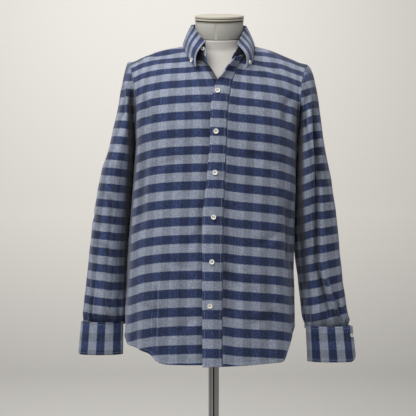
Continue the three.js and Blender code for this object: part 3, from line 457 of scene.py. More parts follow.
def backPanel():
    shares = np.linspace(0, 1, bodyCut["columns"]["back"])
    side = np.where(shares < 0.5, right, left)
    around = 1 + (0.5 - np.abs(shares - 0.5)) * 2
    hems = [readTable(bodyCut["hems"][which], "at", around)["z"] for which in (right, left)]
    hem = np.where(side == right, *hems)
    underarm = float(bodyCut["underarm"])
    z = hem[:, None] + (underarm - hem)[:, None] * rowHeights(bodyCut["lowest"]["back"])
    lower = bodyPoints(z, (side * around)[:, None])
    level = np.full(len(shares), underarm)
    start = bodyPoints(level, side * around)
    ends = yokeSeamPoints(shares)
    corners = yokeSeamPoints(np.where(side == right, 0, 1))
    pull = (np.abs(shares - 0.5) * 2)[:, None]
    armpits = bodyPoints(level, side * 1.0)
    leave = mix(start + handle("back"), armpits + handle("armpitBack", side), pull ** 2.4)
    arrive = mix(ends + handle("backTop"), corners + handle("cornerBack", side), pull ** 4)
    upper = np.linspace(0, 1, bodyCut["chestRows"]["back"])
    return np.concatenate([lower, sweep(start, leave, arrive, ends, upper)], axis=1)


def yokePanel():
    shares = np.linspace(0, 1, bodyCut["columns"]["back"])
    start = yokeSeamPoints(shares)
    side = np.where(shares <= 0.5, right, left)
    onRight = (side == right)[:, None]
    toNeck = bodyCut["yokeNeck"]
    fromArm = 0.5 - np.abs(shares - 0.5)
    inward = np.clip(fromArm / toNeck, 0, 1)
    nape = np.clip((fromArm - toNeck) / (0.5 - toNeck), 0, 1)
    shoulder = np.where(onRight, *(shoulderSeamPoints(which, 1 - inward) for which in (right, left)))
    shoulderAt = np.where(side == right, *(collarCut["shoulderAt"][which] for which in (right, left)))
    neckline = necklinePoints(mix(shoulderAt, collarCut["napeAt"], nape))
    ends = np.where((fromArm <= toNeck)[:, None], shoulder, neckline)
    steep = ease(nape * 1.5)
    rise = np.where(fromArm <= toNeck, mix(14, 6, inward), mix(6, -28, steep))
    reach = np.stack([0 * rise, mix(42, 20, steep), rise], axis=1)
    pull = ((1 - inward) ** 4)[:, None]
    ridge = np.where(onRight, *(np.array(bodyCut["ridge"][which]) for which in (right, left)))
    leave = mix(start + handle("yoke"), start + handle("yokeArm", side), pull)
    arrive = mix(ends + reach, ridge, pull)
    return sweep(start, leave, arrive, ends, np.linspace(0, 1, bodyCut["yokeRows"]))


sleeveCut = {
    "sections": {
        right: table("z inner outer deep middle power",
            (1235, -188, -257, 82, 6, 2.3), (1152, -195, -275, 76, 10, 2.3),
            (1046, -203.5, -290, 64, 12, 2.2), (952, -207.5, -300, 50, 8, 2.2),
            (900, -210, -306, 42, 4, 2.2), (872, -211, -307, 32, 2, 2.2)),
        left: table("z inner outer deep middle power",
            (1235, 195, 267, 82, 6, 2.3), (1152, 193.5, 282, 76, 10, 2.3), (1046, 197, 295, 64, 12, 2.2),
            (952, 208, 304, 50, 8, 2.2), (890, 213, 314, 42, 4, 2.2), (862, 216, 318, 32, 2, 2.2))},
    "caps": {right: {"armpit": 8, "out": 12, "drop": 12, "within": 31, "above": 84, "tuck": 14},
        left: {"armpit": 8, "out": 25, "drop": 10, "within": 21, "above": 96, "tuck": 6}},
    "folds": {    # place round: 0 next to the body, 0.25 front, 0.5 outer edge
        right: table("at lean low high width depth",
            (0.3, 0.004, 880, 1330, 0.05, -6), (0.4, 0.002, 872, 1060, 0.04, -5),
            (0.19, 0, 880, 1200, 0.04, 4), (0.72, 0.004, 880, 1300, 0.06, -7),
            (0.89, 0, 840, 1320, 0.07, 11), (0.95, 0, 1120, 1340, 0.05, 7)),
        left: table("at lean low high width depth",
            (0.3, 0.002, 900, 1420, 0.045, -6), (0.22, 0.003, 862, 1010, 0.04, -5),
            (0.38, 0.004, 862, 960, 0.035, -4), (0.7, -0.004, 880, 1320, 0.06, -7),
            (0.83, 0, 880, 1160, 0.05, 5), (0.93, 0, 1060, 1340, 0.06, 10))},
    "capRows": 34, "rows": 92, "measuredRow": 54,
    "gather": {"height": 20, "narrower": 0.05, "flatter": 0.42, "tuck": 6, "tuckHeight": 5},
}
cuffCut = {
    "lap": 0.1, "lapGap": 0.6, "corner": 16, "around": 260, "thick": 2, "outerCorner": {right: 8, left: 17},
    "columns": 150, "rows": 24,
    "cuffs": {
        right: {"top": 872, "foot": 796, "innerTop": -211, "outerTop": -310, "innerFoot": -212,
            "outerFoot": -317, "deepTop": 24, "deepFoot": 22, "middle": 2, "lapAt": 0.62},
        left: {"top": 862, "foot": 779, "innerTop": 215, "outerTop": 322, "innerFoot": 219,
            "outerFoot": 331, "deepTop": 24, "deepFoot": 22, "middle": 2, "lapAt": 0.4}},
}


def signedPower(value, power):
    return np.sign(value) * np.abs(value) ** power


def sleeveRing(side, z, shares):
    row = readTable(sleeveCut["sections"][side], "z", z)
    middle, half = (row["inner"] + row["outer"]) / 2, np.abs(row["outer"] - row["inner"]) / 2
    angle = shares * 2 * np.pi
    fold = foldDepth(sleeveCut["folds"][side], shares, z)
    x = signedPower(-np.cos(angle), 2 / row["power"]) * half
    y = signedPower(-np.sin(angle), 2 / row["power"]) * row["deep"]
    out = unit(np.stack([x / half ** 2, y / row["deep"] ** 2], axis=-1)) * fold[..., None]
    return np.stack([middle + side * (x + out[..., 0]), row["middle"] + y + out[..., 1], z + 0 * x], axis=-1)


# The armhole, from the underarm up the front, over the yoke's end and down the back
def armholeLoop(side, worn):
    front, end = ("front_right", 0) if side == right else ("front_left", -1)
    return np.concatenate([worn[front][-1, chestStart[front]:], worn["yoke"][end][::-1][1:],
        worn["back"][end, chestStart["back"]:][::-1][1:-1]])


def sleevePanel(side, loop):
    steps = np.linalg.norm(np.roll(loop, -1, axis=0) - loop, axis=1)
    shares = np.concatenate([[0], np.cumsum(steps)[:-1]]) / steps.sum()
    cap = sleeveCut["caps"][side]
    heights = sleeveCut["sections"][side]["z"]
    high = (1 - np.cos(shares * 2 * np.pi)) / 2
    frontward = np.maximum(0, np.sin(shares * 2 * np.pi))
    ringAt = lambda z: sleeveRing(side, np.full(len(shares), z), shares)
    first = ringAt(heights[0])
    outwards, tuck = side * mix(cap["armpit"], cap["out"], high), cap["tuck"] * frontward * (1 - high)
    leave = loop + np.stack([outwards, tuck, np.full(len(shares), -float(cap["drop"]))], axis=1)
    arrive = first + np.stack([-side * cap["within"] * high, 0 * high, mix(18, cap["above"], high)], axis=1)
    crown = sweep(loop, leave, arrive, first, np.linspace(0, 1, sleeveCut["capRows"], endpoint=False))
    tube = [ringAt(z) for z in np.linspace(heights[0], heights[-1], sleeveCut["rows"])]
    return np.concatenate([crown, np.stack(tube, axis=1)], axis=1)


# A cuff is one band whose end laps over its start, with the lower corner of that end rounded
def cuffPanel(side):
    cuff, lap, corner = cuffCut["cuffs"][side], cuffCut["lap"], cuffCut["corner"]
    turn = np.linspace(0, 1 + lap, cuffCut["columns"])
    angle = ((cuff["lapAt"] + turn) * 2 * np.pi)[:, None]
    over = (ease((turn - 1 + lap) / lap) * (cuffCut["thick"] + cuffCut["lapGap"]))[:, None]
    toEnd = (1 + lap - turn) * cuffCut["around"]
    raised = np.where(toEnd < corner, corner - np.sqrt(np.maximum(0, corner ** 2 - (corner - toEnd) ** 2)), 0)
    widest = np.abs(cuff["outerFoot"] - cuff["innerFoot"])
    inwards = widest * (1 - (1 - np.cos(angle[:, 0])) / 2)      # from the cuff's outer edge
    outerCorner = cuffCut["outerCorner"][side]
    roundedOff = np.sqrt(np.maximum(0, outerCorner ** 2 - np.maximum(0, outerCorner - inwards) ** 2))
    raised = np.maximum(raised, outerCorner - roundedOff)
    rows = np.linspace(0, 1, cuffCut["rows"])
    z = mix((cuff["foot"] + raised)[:, None], cuff["top"], rows[None])
    share = (z - cuff["foot"]) / (cuff["top"] - cuff["foot"])
    inner = mix(cuff["innerFoot"], cuff["innerTop"], share)
    outer = mix(cuff["outerFoot"], cuff["outerTop"], share)
    half = np.abs(outer - inner) / 2 + over
    deep = mix(cuff["deepFoot"], cuff["deepTop"], share) + over
    x = (inner + outer) / 2 - side * np.cos(angle) * half
    return np.stack([x, cuff["middle"] - np.sin(angle) * deep, z], axis=-1)


def collarOut(fold):
    out = fold - np.array(collarCut["middle"], float)
    out[..., 2] = 0
    return unit(out)


def collarPlaces():
    return np.linspace(0, collarCut["lastAt"], collarCut["columns"])


def fromCollarEnd():
    places = collarPlaces()
    return np.minimum(places, places[-1] - places)


def standPanel():
    row = readTable(collarCut["rows"], "at", collarPlaces())
    low = np.stack([row["neckX"], row["neckY"], row["neckZ"] + collarCut["standLift"]], axis=-1)
    high = np.stack([row["foldX"], row["foldY"], row["foldZ"]], axis=-1)
    out = collarOut(high)
    corner = np.clip(1 - fromCollarEnd() / collarCut["standRound"], 0, 1)
    high[:, 2] -= collarCut["standRoundDrop"] * corner ** 2
    shares = np.linspace(0, 1, 12)[None, :, None]
    bow = out[:, None] * collarCut["standBow"] * np.sin(np.pi * shares)
    wall = mix(low[:, None], high[:, None], shares) + bow
    inwards, down = collarCut["allowance"]
    allowance = low - out * inwards - np.array([0, 0, down])
    return np.concatenate([allowance[:, None], mix(allowance, low, 0.6)[:, None], wall], axis=1)


def leafPanel():
    row = readTable(collarCut["rows"], "at", collarPlaces())
    fold = np.stack([row["foldX"], row["foldY"], row["foldZ"]], axis=-1)
    edge = np.stack([row["edgeX"], row["edgeY"], row["edgeZ"]], axis=-1)
    bow = np.stack([row["bowX"], row["bowY"], 0 * row["bowX"]], axis=-1)
    out, up = collarOut(fold), np.array([0, 0, 1.0])
    aside, above, radius = collarCut["foldOut"], collarCut["foldUp"], collarCut["foldRadius"]
    turn = np.linspace(np.pi * 0.93, 0.12, 7)
    roll = [fold + out * (aside + radius * np.cos(a)) + up * (above + radius * np.sin(a)) for a in turn]
    fall = [mix(roll[-1], edge, s) + bow * np.sin(np.pi * s) for s in np.linspace(0, 1, 15)[1:]]
    return np.stack(roll + fall, axis=1)


# The check: where its stripes fall on each panel, counted up from one at the middle of the front

check = {
    "stripe": 19.7,     # the width of one stripe
    "heights": table("z count",
        (700, -21.8), (816, -16), (939, -10), (1039, -5), (1137, 0), (1216, 4), (1293, 8), (1332, 10),
        (1370, 12), (1406, 14), (1424, 15), (1441, 16), (1455, 17), (1469, 18), (1482, 19), (1520, 22)),
    "droop": table("x down",
        (-215, 32), (-185, 21), (-159, 10.5), (-110, 3), (-44, 0), (-20, 0), (20, 1), (48, 5), (96, 9.5),
        (151, 16), (185, 26), (215, 36)),
    "sleeves": {
        right: table("z count", (850, -15), (968, -9), (1119, -1), (1265, 7), (1450, 17)),
        left: table("z count",
            (850, -15), (968, -9), (1126, -1), (1237, 5), (1350, 11), (1383, 13), (1452, 17))},
    # The left sleeve's long fold, and how fast the stripes fall towards the body on each side of it
    "fold": {"at": 214, "from": 930, "lean": 0.04, "outside": 0.24, "outsideLeast": 0.1, "fading": 0.0005,
        "inside": 0.42},
    "rightFall": 0.1, "rightFrom": 238,
    "darkMiddle": 9.85,                                   # from a dark stripe's edge to its middle
    "cuffDarkAt": {right: -264.5, left: 239.7},           # the middle of a dark stripe on each cuff's front
}


def bodyWeft(points, lean, shift):
    droop = readTable(check["droop"], "x", points[..., 0])["down"]
    droop = droop + shift + lean * np.maximum(0, 1150 - points[..., 2])
    return readTable(check["heights"], "z", points[..., 2] + droop)["count"] * check["stripe"]


# The sleeves' stripes fall towards the body, more steeply between it and the long fold of the left sleeve
def sleeveWeft(side, x, z):
    if side == right:
        slope = check["rightFall"] * (np.abs(x) - check["rightFrom"])
    else:
        fold = check["fold"]
        above = z - fold["from"]
        foldAt = fold["at"] + above * fold["lean"]
        outside = np.clip(fold["outside"] - above * fold["fading"], fold["outsideLeast"], fold["outside"])
        slope = (x - foldAt) * np.where(x > foldAt, outside, fold["inside"])
    count = readTable(check["sleeves"][side], "z", (z - slope).ravel())["count"]
    return count.reshape(z.shape) * check["stripe"]


def runLength(points):              # distance along lines of points, which run down the first axis
    steps = np.linalg.norm(np.diff(points, axis=0), axis=-1)
    return np.concatenate([np.zeros((1, *steps.shape[1:])), np.cumsum(steps, axis=0)])


def acrossLength(points, row):      # distance along one row of a panel, from its first column
    return runLength(points[:, row])


def upLength(points):               # distance up each column of a panel
    return runLength(np.swapaxes(points, 0, 1)).T


# Creases: soft troughs (a minus depth) and ridges from one point to another, as seen from the front or back
creaseColumns = "x0 z0 x1 z1 bend width depth ridge"


def creaseDepth(creases, x, z):
    total = np.zeros(x.shape)
    rows = zip(*(creases[name] for name in creaseColumns.split()))
    for x0, z0, x1, z1, bend, width, depth, ridge in rows:
        dx, dz = x1 - x0, z1 - z0
        length = math.hypot(dx, dz)
        along = ((x - x0) * dx + (z - z0) * dz) / length ** 2
        across = ((z - z0) * dx - (x - x0) * dz) / length - bend * 4 * along * (1 - along)
        fade = ease(along / 0.28) * ease((1 - along) / 0.28)
        trough = np.exp(-(across / width) ** 2)
        beside = np.exp(-((across - 1.7 * width) / width) ** 2)
        total += depth * fade * (trough - ridge * beside)
    return total


def gridNormals(points, around, out):
    if around:
        across = np.roll(points, -1, axis=0) - np.roll(points, 1, axis=0)
    else:
        across = np.gradient(points, axis=0)
    up = np.gradient(points, axis=1)
    return unit(np.cross(across, up)) * out


# A small unevenness of worn cloth, the same on every run
def ripple(x, y, z):
    small = 0.45 * np.sin(x / 11 - z / 37 + 2) * np.sin(z / 17 + y / 19)
    smallest = 0.25 * np.sin(z / 9 + x / 29) * np.sin(y / 13 + x / 15)
    return 0.7 * np.sin(x / 23 + z / 61) * np.sin(z / 31 - y / 47) + small + smallest


def deselectAll():
    for item in bpy.context.selected_objects:
        item.select_set(False)


def makeActive(piece):
    deselectAll()
    piece.select_set(True)
    bpy.context.view_layer.objects.active = piece


def applyModifiers(piece):
    makeActive(piece)
    for modifier in list(piece.modifiers):
        bpy.ops.object.modifier_apply(modifier=modifier.name)


def meshPiece(name, points, faces, material, uv=None, smooth=True):
    mesh = bpy.data.meshes.new(name)
    mesh.from_pydata((np.asarray(points).reshape(-1, 3) * mm).tolist(), [], faces.tolist())
    if uv is not None:      # a place on the cloth for each corner of each face
        layer = mesh.uv_layers.new(name="cloth")
        layer.data.foreach_set("uv", uv.astype(np.float32).ravel() * mm)
    mesh.polygons.foreach_set("use_smooth", [smooth] * len(mesh.polygons))
    mesh.materials.append(material)
    mesh.update()
    piece = bpy.data.objects.new(name, mesh)
    bpy.context.scene.collection.objects.link(piece)
    return piece


sewn = {}      # each panel's finished face and its normals, for the sewing on it


# A panel of cloth from a grid of points, with its thickness inwards; shade is painted shade, kept on its
# points, that darkens its colour deep in a fold
def clothPiece(name, points, uv, material, out, thick=bodyCut["thick"], around=False, closeUv=0, shade=None):
    columns, rows = points.shape[:2]
    sewn[name] = (points, gridNormals(points, around, out))
    ids = np.arange(columns * rows).reshape(columns, rows)
    turned = np.concatenate([ids, ids[:1]]) if around else ids
    quads = np.stack([turned[:-1, :-1], turned[1:, :-1], turned[1:, 1:], turned[:-1, 1:]], axis=-1)
    quads = quads.reshape(-1, 4)
    if out < 0:
        quads = quads[:, ::-1]
    corners = uv.reshape(-1, 2)[quads]
    if around:                # the last column's faces reach the first one again, a whole turn further on
        wide = corners[..., 0].max(axis=1) - corners[..., 0].min(axis=1) > closeUv / 2
        low = corners[wide][..., 0] < closeUv / 2
        corners[wide, :, 0] += np.where(low, closeUv, 0)
    piece = meshPiece(name + "_cloth", points, quads, material, corners.reshape(-1, 2))
    # painted shade: the shade attribute multiplies the cloth's colour in its material
    held = piece.data.attributes.new("shade", "FLOAT", "POINT")
    if shade is None:
        shade = np.ones(columns * rows)
    held.data.foreach_set("value", shade.ravel().astype(np.float32))
    wall = piece.modifiers.new("wall", "SOLIDIFY")
    wall.thickness = thick * mm
    wall.offset = -1
    applyModifiers(piece)
    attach(piece, "root")
    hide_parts(name)


# Flannel: two colours in wide stripes, fainter bands the other way, and a soft brushed face, darkened by the
# painted shade that each piece keeps

flannelLook = {
    "dark": rgb(39, 51, 86), "darkPale": rgb(86, 100, 143), "darkDeep": rgb(21, 30, 58),
    "light": rgb(134, 142, 160), "lightPale": rgb(184, 192, 207), "lightDeep": rgb(84, 92, 118),
    "edge": 0.10, "warpEdge": 0.14, "warpDark": 0.46, "warpLight": 0.26,
    "stripe": check["stripe"] * mm, "twill": 0.0011, "napHeight": 0.0006,      # metres
    "stripeFrom": 0.75, "bandFrom": 0.25, "waver": 0.05, "waverGrain": 260.0,
    "threads": (420.0, 1900.0, 1.0), "cross": (1900.0, 420.0, 1.0),      # noise, finer one way than the other
    "slubs": (80.0, 520.0, 1.0), "uprights": (560.0, 50.0, 1.0), "mottleGrain": 330.0, "broadGrain": 22.0,
    "broad": 0.14, "nap": 0.55, "rough": 0.92,
    "sheen": 0.35, "sheenRough": 0.5, "sheenTint": (0.72, 0.76, 0.9, 1), "specular": 0.2,
}


def makeFlannel(name, turned=False, warp=1.0):
    look = flannelLook
    finish = Finish(name)
    uv = finish.coords(2)
    across, up, _ = finish.parts(uv)
    if turned:
        across, up = up, across
    waver = (finish.noise(uv, look["waverGrain"]) - 0.5) * look["waver"]
    stripe = (up / (2 * look["stripe"]) + look["stripeFrom"] + waver).wave().step(0.5, look["edge"])
    band = (across / (2 * look["stripe"]) + look["bandFrom"] + waver).wave().step(0.5, look["warpEdge"])
    threads, cross, slubs, uprights = [finish.noise(finish.stretched(uv, look[kind]), 1.0, 2.0, 0.6)
        for kind in ("threads", "cross", "slubs", "uprights")]
    mottle = finish.noise(uv, look["mottleGrain"], 3.0, 0.7)
    broad = finish.noise(uv, look["broadGrain"])
    heather = (threads + cross - 1) * 0.8 + (slubs - 0.5) + (uprights - 0.5) + (mottle - 0.5) * 2.4
    paler, deeper = heather.held(), (heather * -1.0).held()
    navy, grey = [finish.mix(deeper, finish.mix(paler, look[tone], look[tone + "Pale"]), look[tone + "Deep"])
        for tone in ("dark", "light")]
    colour = finish.mix(stripe, navy, grey)
    depth = (look["warpDark"] + stripe * (look["warpLight"] - look["warpDark"])) * warp
    # painted shade: the pieces' shade attribute, darker in folds, recesses and under the collar, and a
    # painted highlight on the placket's edges
    paintedShade = finish.node("ShaderNodeAttribute", {"attribute_name": "shade"}, out=2)
    # the warp bands and a broad random tone belong to the cloth; the painted shade multiplies them
    shade = (1 - (band - 0.5) * depth + (broad - 0.5) * look["broad"]) * paintedShade
    tint = finish.node("ShaderNodeCombineColor", Red=shade, Green=shade, Blue=shade)
    colour = finish.mix(1.0, colour, tint, "MULTIPLY")
    twill = ((across + up) / look["twill"]).wave() * 0.25 + threads * 0.5 + mottle * 0.8
    nap = finish.bump(twill, look["napHeight"], look["nap"])
    return finish.set(Base_Color=colour, Roughness=look["rough"], Normal=nap, Sheen_Weight=look["sheen"],
        Sheen_Roughness=look["sheenRough"], Sheen_Tint=look["sheenTint"], Specular_IOR_Level=look["specular"])


placeCamera()
placeLights()
flannel = makeFlannel("flannel_body")
flannelTurned = makeFlannel("flannel_turned", turned=True)
flannelSleeve = makeFlannel("flannel_sleeve", warp=1.5)
print("materials made")

grids = {"front_right": frontPanel(right), "front_left": frontPanel(left), "front_placket": placketPanel(),
    "back": backPanel(), "yoke": yokePanel()}
chestStart = {name: 0 if name == "yoke" else int(np.argmin(np.abs(grid[0, :, 2] - bodyCut["underarm"])))
    for name, grid in grids.items()}
print("panels laid out", {name: grid.shape[:2] for name, grid in grids.items()}, chestStart)

bodyCreases = {
    "front": table(creaseColumns,
        (31, 1225, 25, 830, 0, 8, -5, 0.5), (-31, 1170, -30, 1020, 0, 7, -4.5, 0.4),
        (-128, 985, -133, 800, 0, 5, -8, 0.9), (163, 1185, 166, 985, 2, 5, -7, -0.8),
        (48, 1090, 40, 850, 0, 13, -4.5, 0.4), (-86, 1060, -80, 830, 5, 14, -4, 0.4),
        (-150, 1300, -165, 1060, -6, 13, -5, 0.5), (118, 1010, 128, 820, 6, 12, -5, 0.5),
        (-66, 1330, -60, 1150, 3, 16, -2.6, 0.3), (92, 1330, 80, 1120, -5, 18, -3, 0.3),
        (-14, 1120, -70, 1040, 4, 9, -3, 0.5), (10, 1015, 70, 960, -4, 10, -3, 0.5),
        (12, 1214, 60, 1170, 3, 8, -2.6, 0.5), (-150, 1486, -78, 1498, 3, 5, -3.6, 0.7),
        (150, 1440, 90, 1470, -4, 9, -2.8, 0.5), (-168, 1400, -144, 1320, 5, 9, -4.5, 0.6),
        (178, 1400, 160, 1312, -6, 9, -5, 0.6), (-34, 905, -100, 860, 4, 10, -2.6, 0.4),
        (-60, 1250, -150, 1215, -5, 10, -2.6, 0.5), (60, 1260, 160, 1222, 6, 10, -2.6, 0.5),
        (-40, 1000, -120, 1035, 5, 9, -2.4, 0.5), (150, 1090, 80, 1050, 5, 9, -2.4, 0.5),
        (-100, 900, -175, 930, 4, 9, -2.4, 0.5), (70, 880, 150, 905, -4, 10, -2.6, 0.5),
        (-90, 1440, -60, 1330, 4, 10, -2.4, 0.5), (96, 1430, 70, 1320, -4, 11, -2.4, 0.5)),
    "back": table(creaseColumns,
        (-120, 1290, -60, 800, -14, 14, -5, 0.6), (-40, 1200, -15, 800, 8, 15, -4, 0.5),
        (70, 1250, 44, 800, 10, 14, -5, 0.6), (140, 1300, 96, 820, 12, 13, -5, 0.6),
        (-150, 1150, -128, 830, 5, 10, -3.5, 0.5), (14, 1410, 10, 1250, 0, 16, -2.5, 0.4),
        (-70, 1400, -110, 1270, 6, 14, -3, 0.5), (95, 1400, 128, 1270, -6, 14, -3, 0.5),
        (-60, 1120, 20, 1070, 6, 11, -2, 0.6), (104, 1080, 30, 1030, -6, 11, -2, 0.6)),
}


# Deep recesses beside the armholes, which go straight back from the front, with painted shade in them
recesses = table(creaseColumns,
    (-187, 1430, -188, 1180, 2, 8, 20, 0), (-190, 1260, -203, 900, 0, 8, 15, 0),
    (195, 1400, 195, 1150, 0, 7.5, 16, 0), (196, 1200, 205, 1040, 0, 7, 9, 0),
    (202, 1090, 214, 930, 0, 6, 7, 0))

# Painted shade: how much of its colour the cloth loses in recesses, in the valleys of creases, beside the
# placket, where the neck's edge turns under, where the collar hides a front, and inside the collar. The
# pucker values paint a highlight on the placket's stitched edges instead
shadeLook = {
    "recess": 0.8, "recessFrom": 1.5, "recessOver": 5.5,
    "valley": 0.45, "sleeveValley": 0.6, "valleyFrom": 0.6, "valleyOver": 7,
    "placket": 0.2, "placketReach": 9, "turned": 0.62, "hidden": 0.8, "neckOver": 4, "stand": 0.92,
    "puckerHighlight": 0.16, "puckerIn": 3, "puckerWidth": 2.6,      # the placket's stitched edges are paler instead
}
wear = {
    "core": 0.55, "coreTop": 1390,      # where the inside of the body is, from which the creases go outwards
    "tipReach": 30, "tipDrop": 8,       # the shoulders' tips are softened
    "armholeReach": 26,
}


def recessed(points):
    back = creaseDepth(recesses, points[..., 0], points[..., 2]) * ease((15 - points[..., 1]) / 30)
    return points + back[..., None] * np.array([0, 1, 0])


# Painted shade: darker where the cloth goes back into a recess
def recessShade(points):
    depth = creaseDepth(recesses, points[..., 0], points[..., 2])
    return 1 - shadeLook["recess"] * ease((depth - shadeLook["recessFrom"]) / shadeLook["recessOver"])


def bodySkeletonOut(points):      # outwards from inside the body, the same for all its panels
    inside = np.stack([points[..., 0] * wear["core"], 0 * points[..., 1],
        np.minimum(points[..., 2], wear["coreTop"])], axis=-1)
    return unit(points - inside)


def facesFront(out):              # 1 where the cloth faces the front, 0 where it faces the back
    return ease((0.25 - out[..., 1]) / 0.5)


def wornBody(points):
    out = bodySkeletonOut(points)
    x, y, z = points[..., 0], points[..., 1], points[..., 2]
    behind, before = [creaseDepth(bodyCreases[way], x, z) for way in ("back", "front")]
    depth = mix(behind, before, facesFront(out))
    toTips = [np.linalg.norm(points - np.array(tip, float), axis=-1) for tip in bodyCut["ridge"].values()]
    near = sum(np.exp(-(gap / wear["tipReach"]) ** 2) for gap in toTips)
    softened = points - near[..., None] * np.array([0, 0, wear["tipDrop"]])
    return softened + out * (depth + ripple(x, y, z))[..., None]


# A panel keeps its plain shape along the armhole, where its points are also the sleeve's
def fadeToArmhole(points, worn, column, start):
    edge = points[column, start:]
    gap = np.min(np.linalg.norm(points[..., None, :] - edge[None, None, ::3], axis=-1), axis=-1)
    return mix(points, worn, ease(gap / wear["armholeReach"])[..., None])


# Seams dip where two panels meet, and a hem is a doubled band with its stitching pulled in
def finishEdges(points, normals, hem=True, seamColumns=(), seamRows=(), dip=0.8, width=5):
    moved = np.zeros(points.shape[:2])
    across = np.abs(np.linalg.norm(np.diff(points, axis=0), axis=2)).mean()
    up = upLength(points)
    for column in seamColumns:
        gap = np.abs(np.arange(len(points)) - (column % len(points))) * across
        moved -= (dip * np.exp(-(gap / width * 1.6) ** 2))[:, None]
    for row in seamRows:
        gap = np.abs(up - up[:, row][:, None])
        moved -= dip * np.exp(-(gap / width * 1.6) ** 2)
    if hem:
        band = bodyCut["hemBand"]
        moved += 0.55 * ease((band - up) / 1.5 + 0.5) - 0.35 * np.exp(-((up - band) / 1.2) ** 2)
    return points + normals * moved[..., None]


def bodyUv(name, points, lean, shift):
    weft = bodyWeft(points, lean, shift)
    across = acrossLength(points, chestStart[name])
    if name == "yoke":
        across = across - across[-1] / 2
        weft = weft[:, :1] + upLength(points)
    return np.stack([np.broadcast_to(across[:, None], weft.shape), weft], axis=-1)


# Each panel: the way it faces, its seams' columns and rows, its columns at an armhole and its check's start
# across; the placket is also raised and thicker, and its check leans
panelLook = {
    "front_right": {"out": -1, "columns": (-1,), "rows": (-1,), "armholes": (-1,), "start": 10},
    "front_left": {"out": 1, "columns": (0, -1), "rows": (-1,), "armholes": (-1,), "start": -6},
    "front_placket": {"out": 1, "columns": (), "rows": (), "armholes": (), "start": -20,
        "lift": bodyCut["placketLift"], "thick": bodyCut["placketThick"], "lean": 0.035, "shift": -3},
    "back": {"out": -1, "columns": (0, -1), "rows": (-1,), "armholes": (0, -1), "start": 4},
    "yoke": {"out": -1, "columns": (), "rows": (0, -1), "armholes": (0, -1), "start": 0},
}
plainPanel = {"lift": 0, "thick": bodyCut["thick"], "lean": 0.0, "shift": 0.0}

# The neck's edges: the right front turns under, the collar hides the left one, and the placket curls out; the
# shade and hidden values place painted shade along them
neckRoll = {
    "from": 1372, "rise": 30, "underWidth": 15, "underDrop": 3, "shadeWidth": 13, "shadeTop": 1482,
    "hiddenFrom": 57, "hiddenTop": 1500, "hiddenWidth": 15,
    "curlFrom": 1404, "curlRise": 34, "curlWidth": 11, "curlTurn": 2.4,
}


# Painted shade: darker in the valleys of the creases
def valleyShade(depth, strength):
    return 1 - strength * np.clip((-depth - shadeLook["valleyFrom"]) / shadeLook["valleyOver"], 0, 1)


# Beside the placket the fronts are a little darker with painted shade, and its own puckered edges are painted
# paler, a painted highlight where they catch the light
def placketShade(name, points):
    edges = readTable(bodyCut["placket"], "z", points[..., 2])
    toFree, toStitch = points[..., 0] - edges["free"], edges["stitch"] - points[..., 0]
    if name == "front_placket":
        inwards = np.minimum(toFree, toStitch) - shadeLook["puckerIn"]
        return 1 + shadeLook["puckerHighlight"] * np.exp(-(inwards / shadeLook["puckerWidth"]) ** 2)
    gap = -toFree if name == "front_right" else -toStitch
    return 1 - shadeLook["placket"] * np.exp(-(np.maximum(gap, 0) / shadeLook["placketReach"]) ** 2)


# Painted shade, darker along the open neck: where the right front turns under, and where the collar hides the
# left one
def neckShade(name, points):
    side, top = points[0], points[:, -1]
    if name == "front_right":
        edge = np.concatenate([side[side[:, 2] > neckRoll["from"]], top[top[:, 2] < neckRoll["shadeTop"]]])
        width, strength = neckRoll["shadeWidth"], shadeLook["turned"]
    else:
        edge = top[(top[:, 0] > neckRoll["hiddenFrom"]) & (top[:, 2] < neckRoll["hiddenTop"])]
        width, strength = neckRoll["hiddenWidth"], shadeLook["hidden"]
    beside = np.min(np.linalg.norm(points[:, :, None] - edge[None, None], axis=-1), axis=-1)
    return 1 - strength * ease((width - beside) / shadeLook["neckOver"])


# The painted shade of the fronts and the placket; the back and the yoke have none
def bodyShade(name, points):
    if name in ("back", "yoke"):
        return None
    shade = placketShade(name, points)
    if name == "front_placket":
        return shade
    creased = creaseDepth(bodyCreases["front"], points[..., 0], points[..., 2])
    return shade * recessShade(points) * neckShade(name, points) * valleyShade(creased, shadeLook["valley"])


# Above the first button the right front turns in along its edge, and the placket's edge curls outwards
def rollNeckEdge(name, points):
    z = points[..., 2]
    beside = np.linalg.norm(points - points[:1], axis=-1)
    if name == "front_right":
        high = ease((z - neckRoll["from"]) / neckRoll["rise"])
        inwards = high * ease(1 - beside / neckRoll["underWidth"]) * neckRoll["underDrop"]
        return points + inwards[..., None] * np.array([0.15, 1, 0])
    high = ease((z - neckRoll["curlFrom"]) / neckRoll["curlRise"])
    toFold = np.clip(1 - beside / neckRoll["curlWidth"], 0, 1)
    turn = toFold * high * neckRoll["curlTurn"]
    radius = neckRoll["curlWidth"] / neckRoll["curlTurn"]
    away = toFold * neckRoll["curlWidth"] * high
    x = points[..., 0] + away - radius * np.sin(turn)
    y = points[..., 1] - radius * (1 - np.cos(turn)) * 1.3
    return np.stack([x, y, z], axis=-1)


def makeBody():
    worn = {}
    for name, points in grids.items():
        moved = wornBody(points)
        if name in ("front_right", "front_placket"):
            moved = rollNeckEdge(name, moved)
        for column in panelLook[name]["armholes"]:
            moved = fadeToArmhole(points, moved, column, chestStart[name])
        worn[name] = recessed(moved)
    for name, points in worn.items():
        look = plainPanel | panelLook[name]
        uv = bodyUv(name, grids[name], look["lean"], look["shift"])
        uv[..., 0] += look["start"]
        normals = gridNormals(points, False, look["out"])
        raised = points + normals * look["lift"]
        points = finishEdges(raised, normals, name != "yoke", look["columns"], look["rows"])
        clothPiece(name, points, uv, flannel, look["out"], look["thick"], shade=bodyShade(name, grids[name]))
    return worn


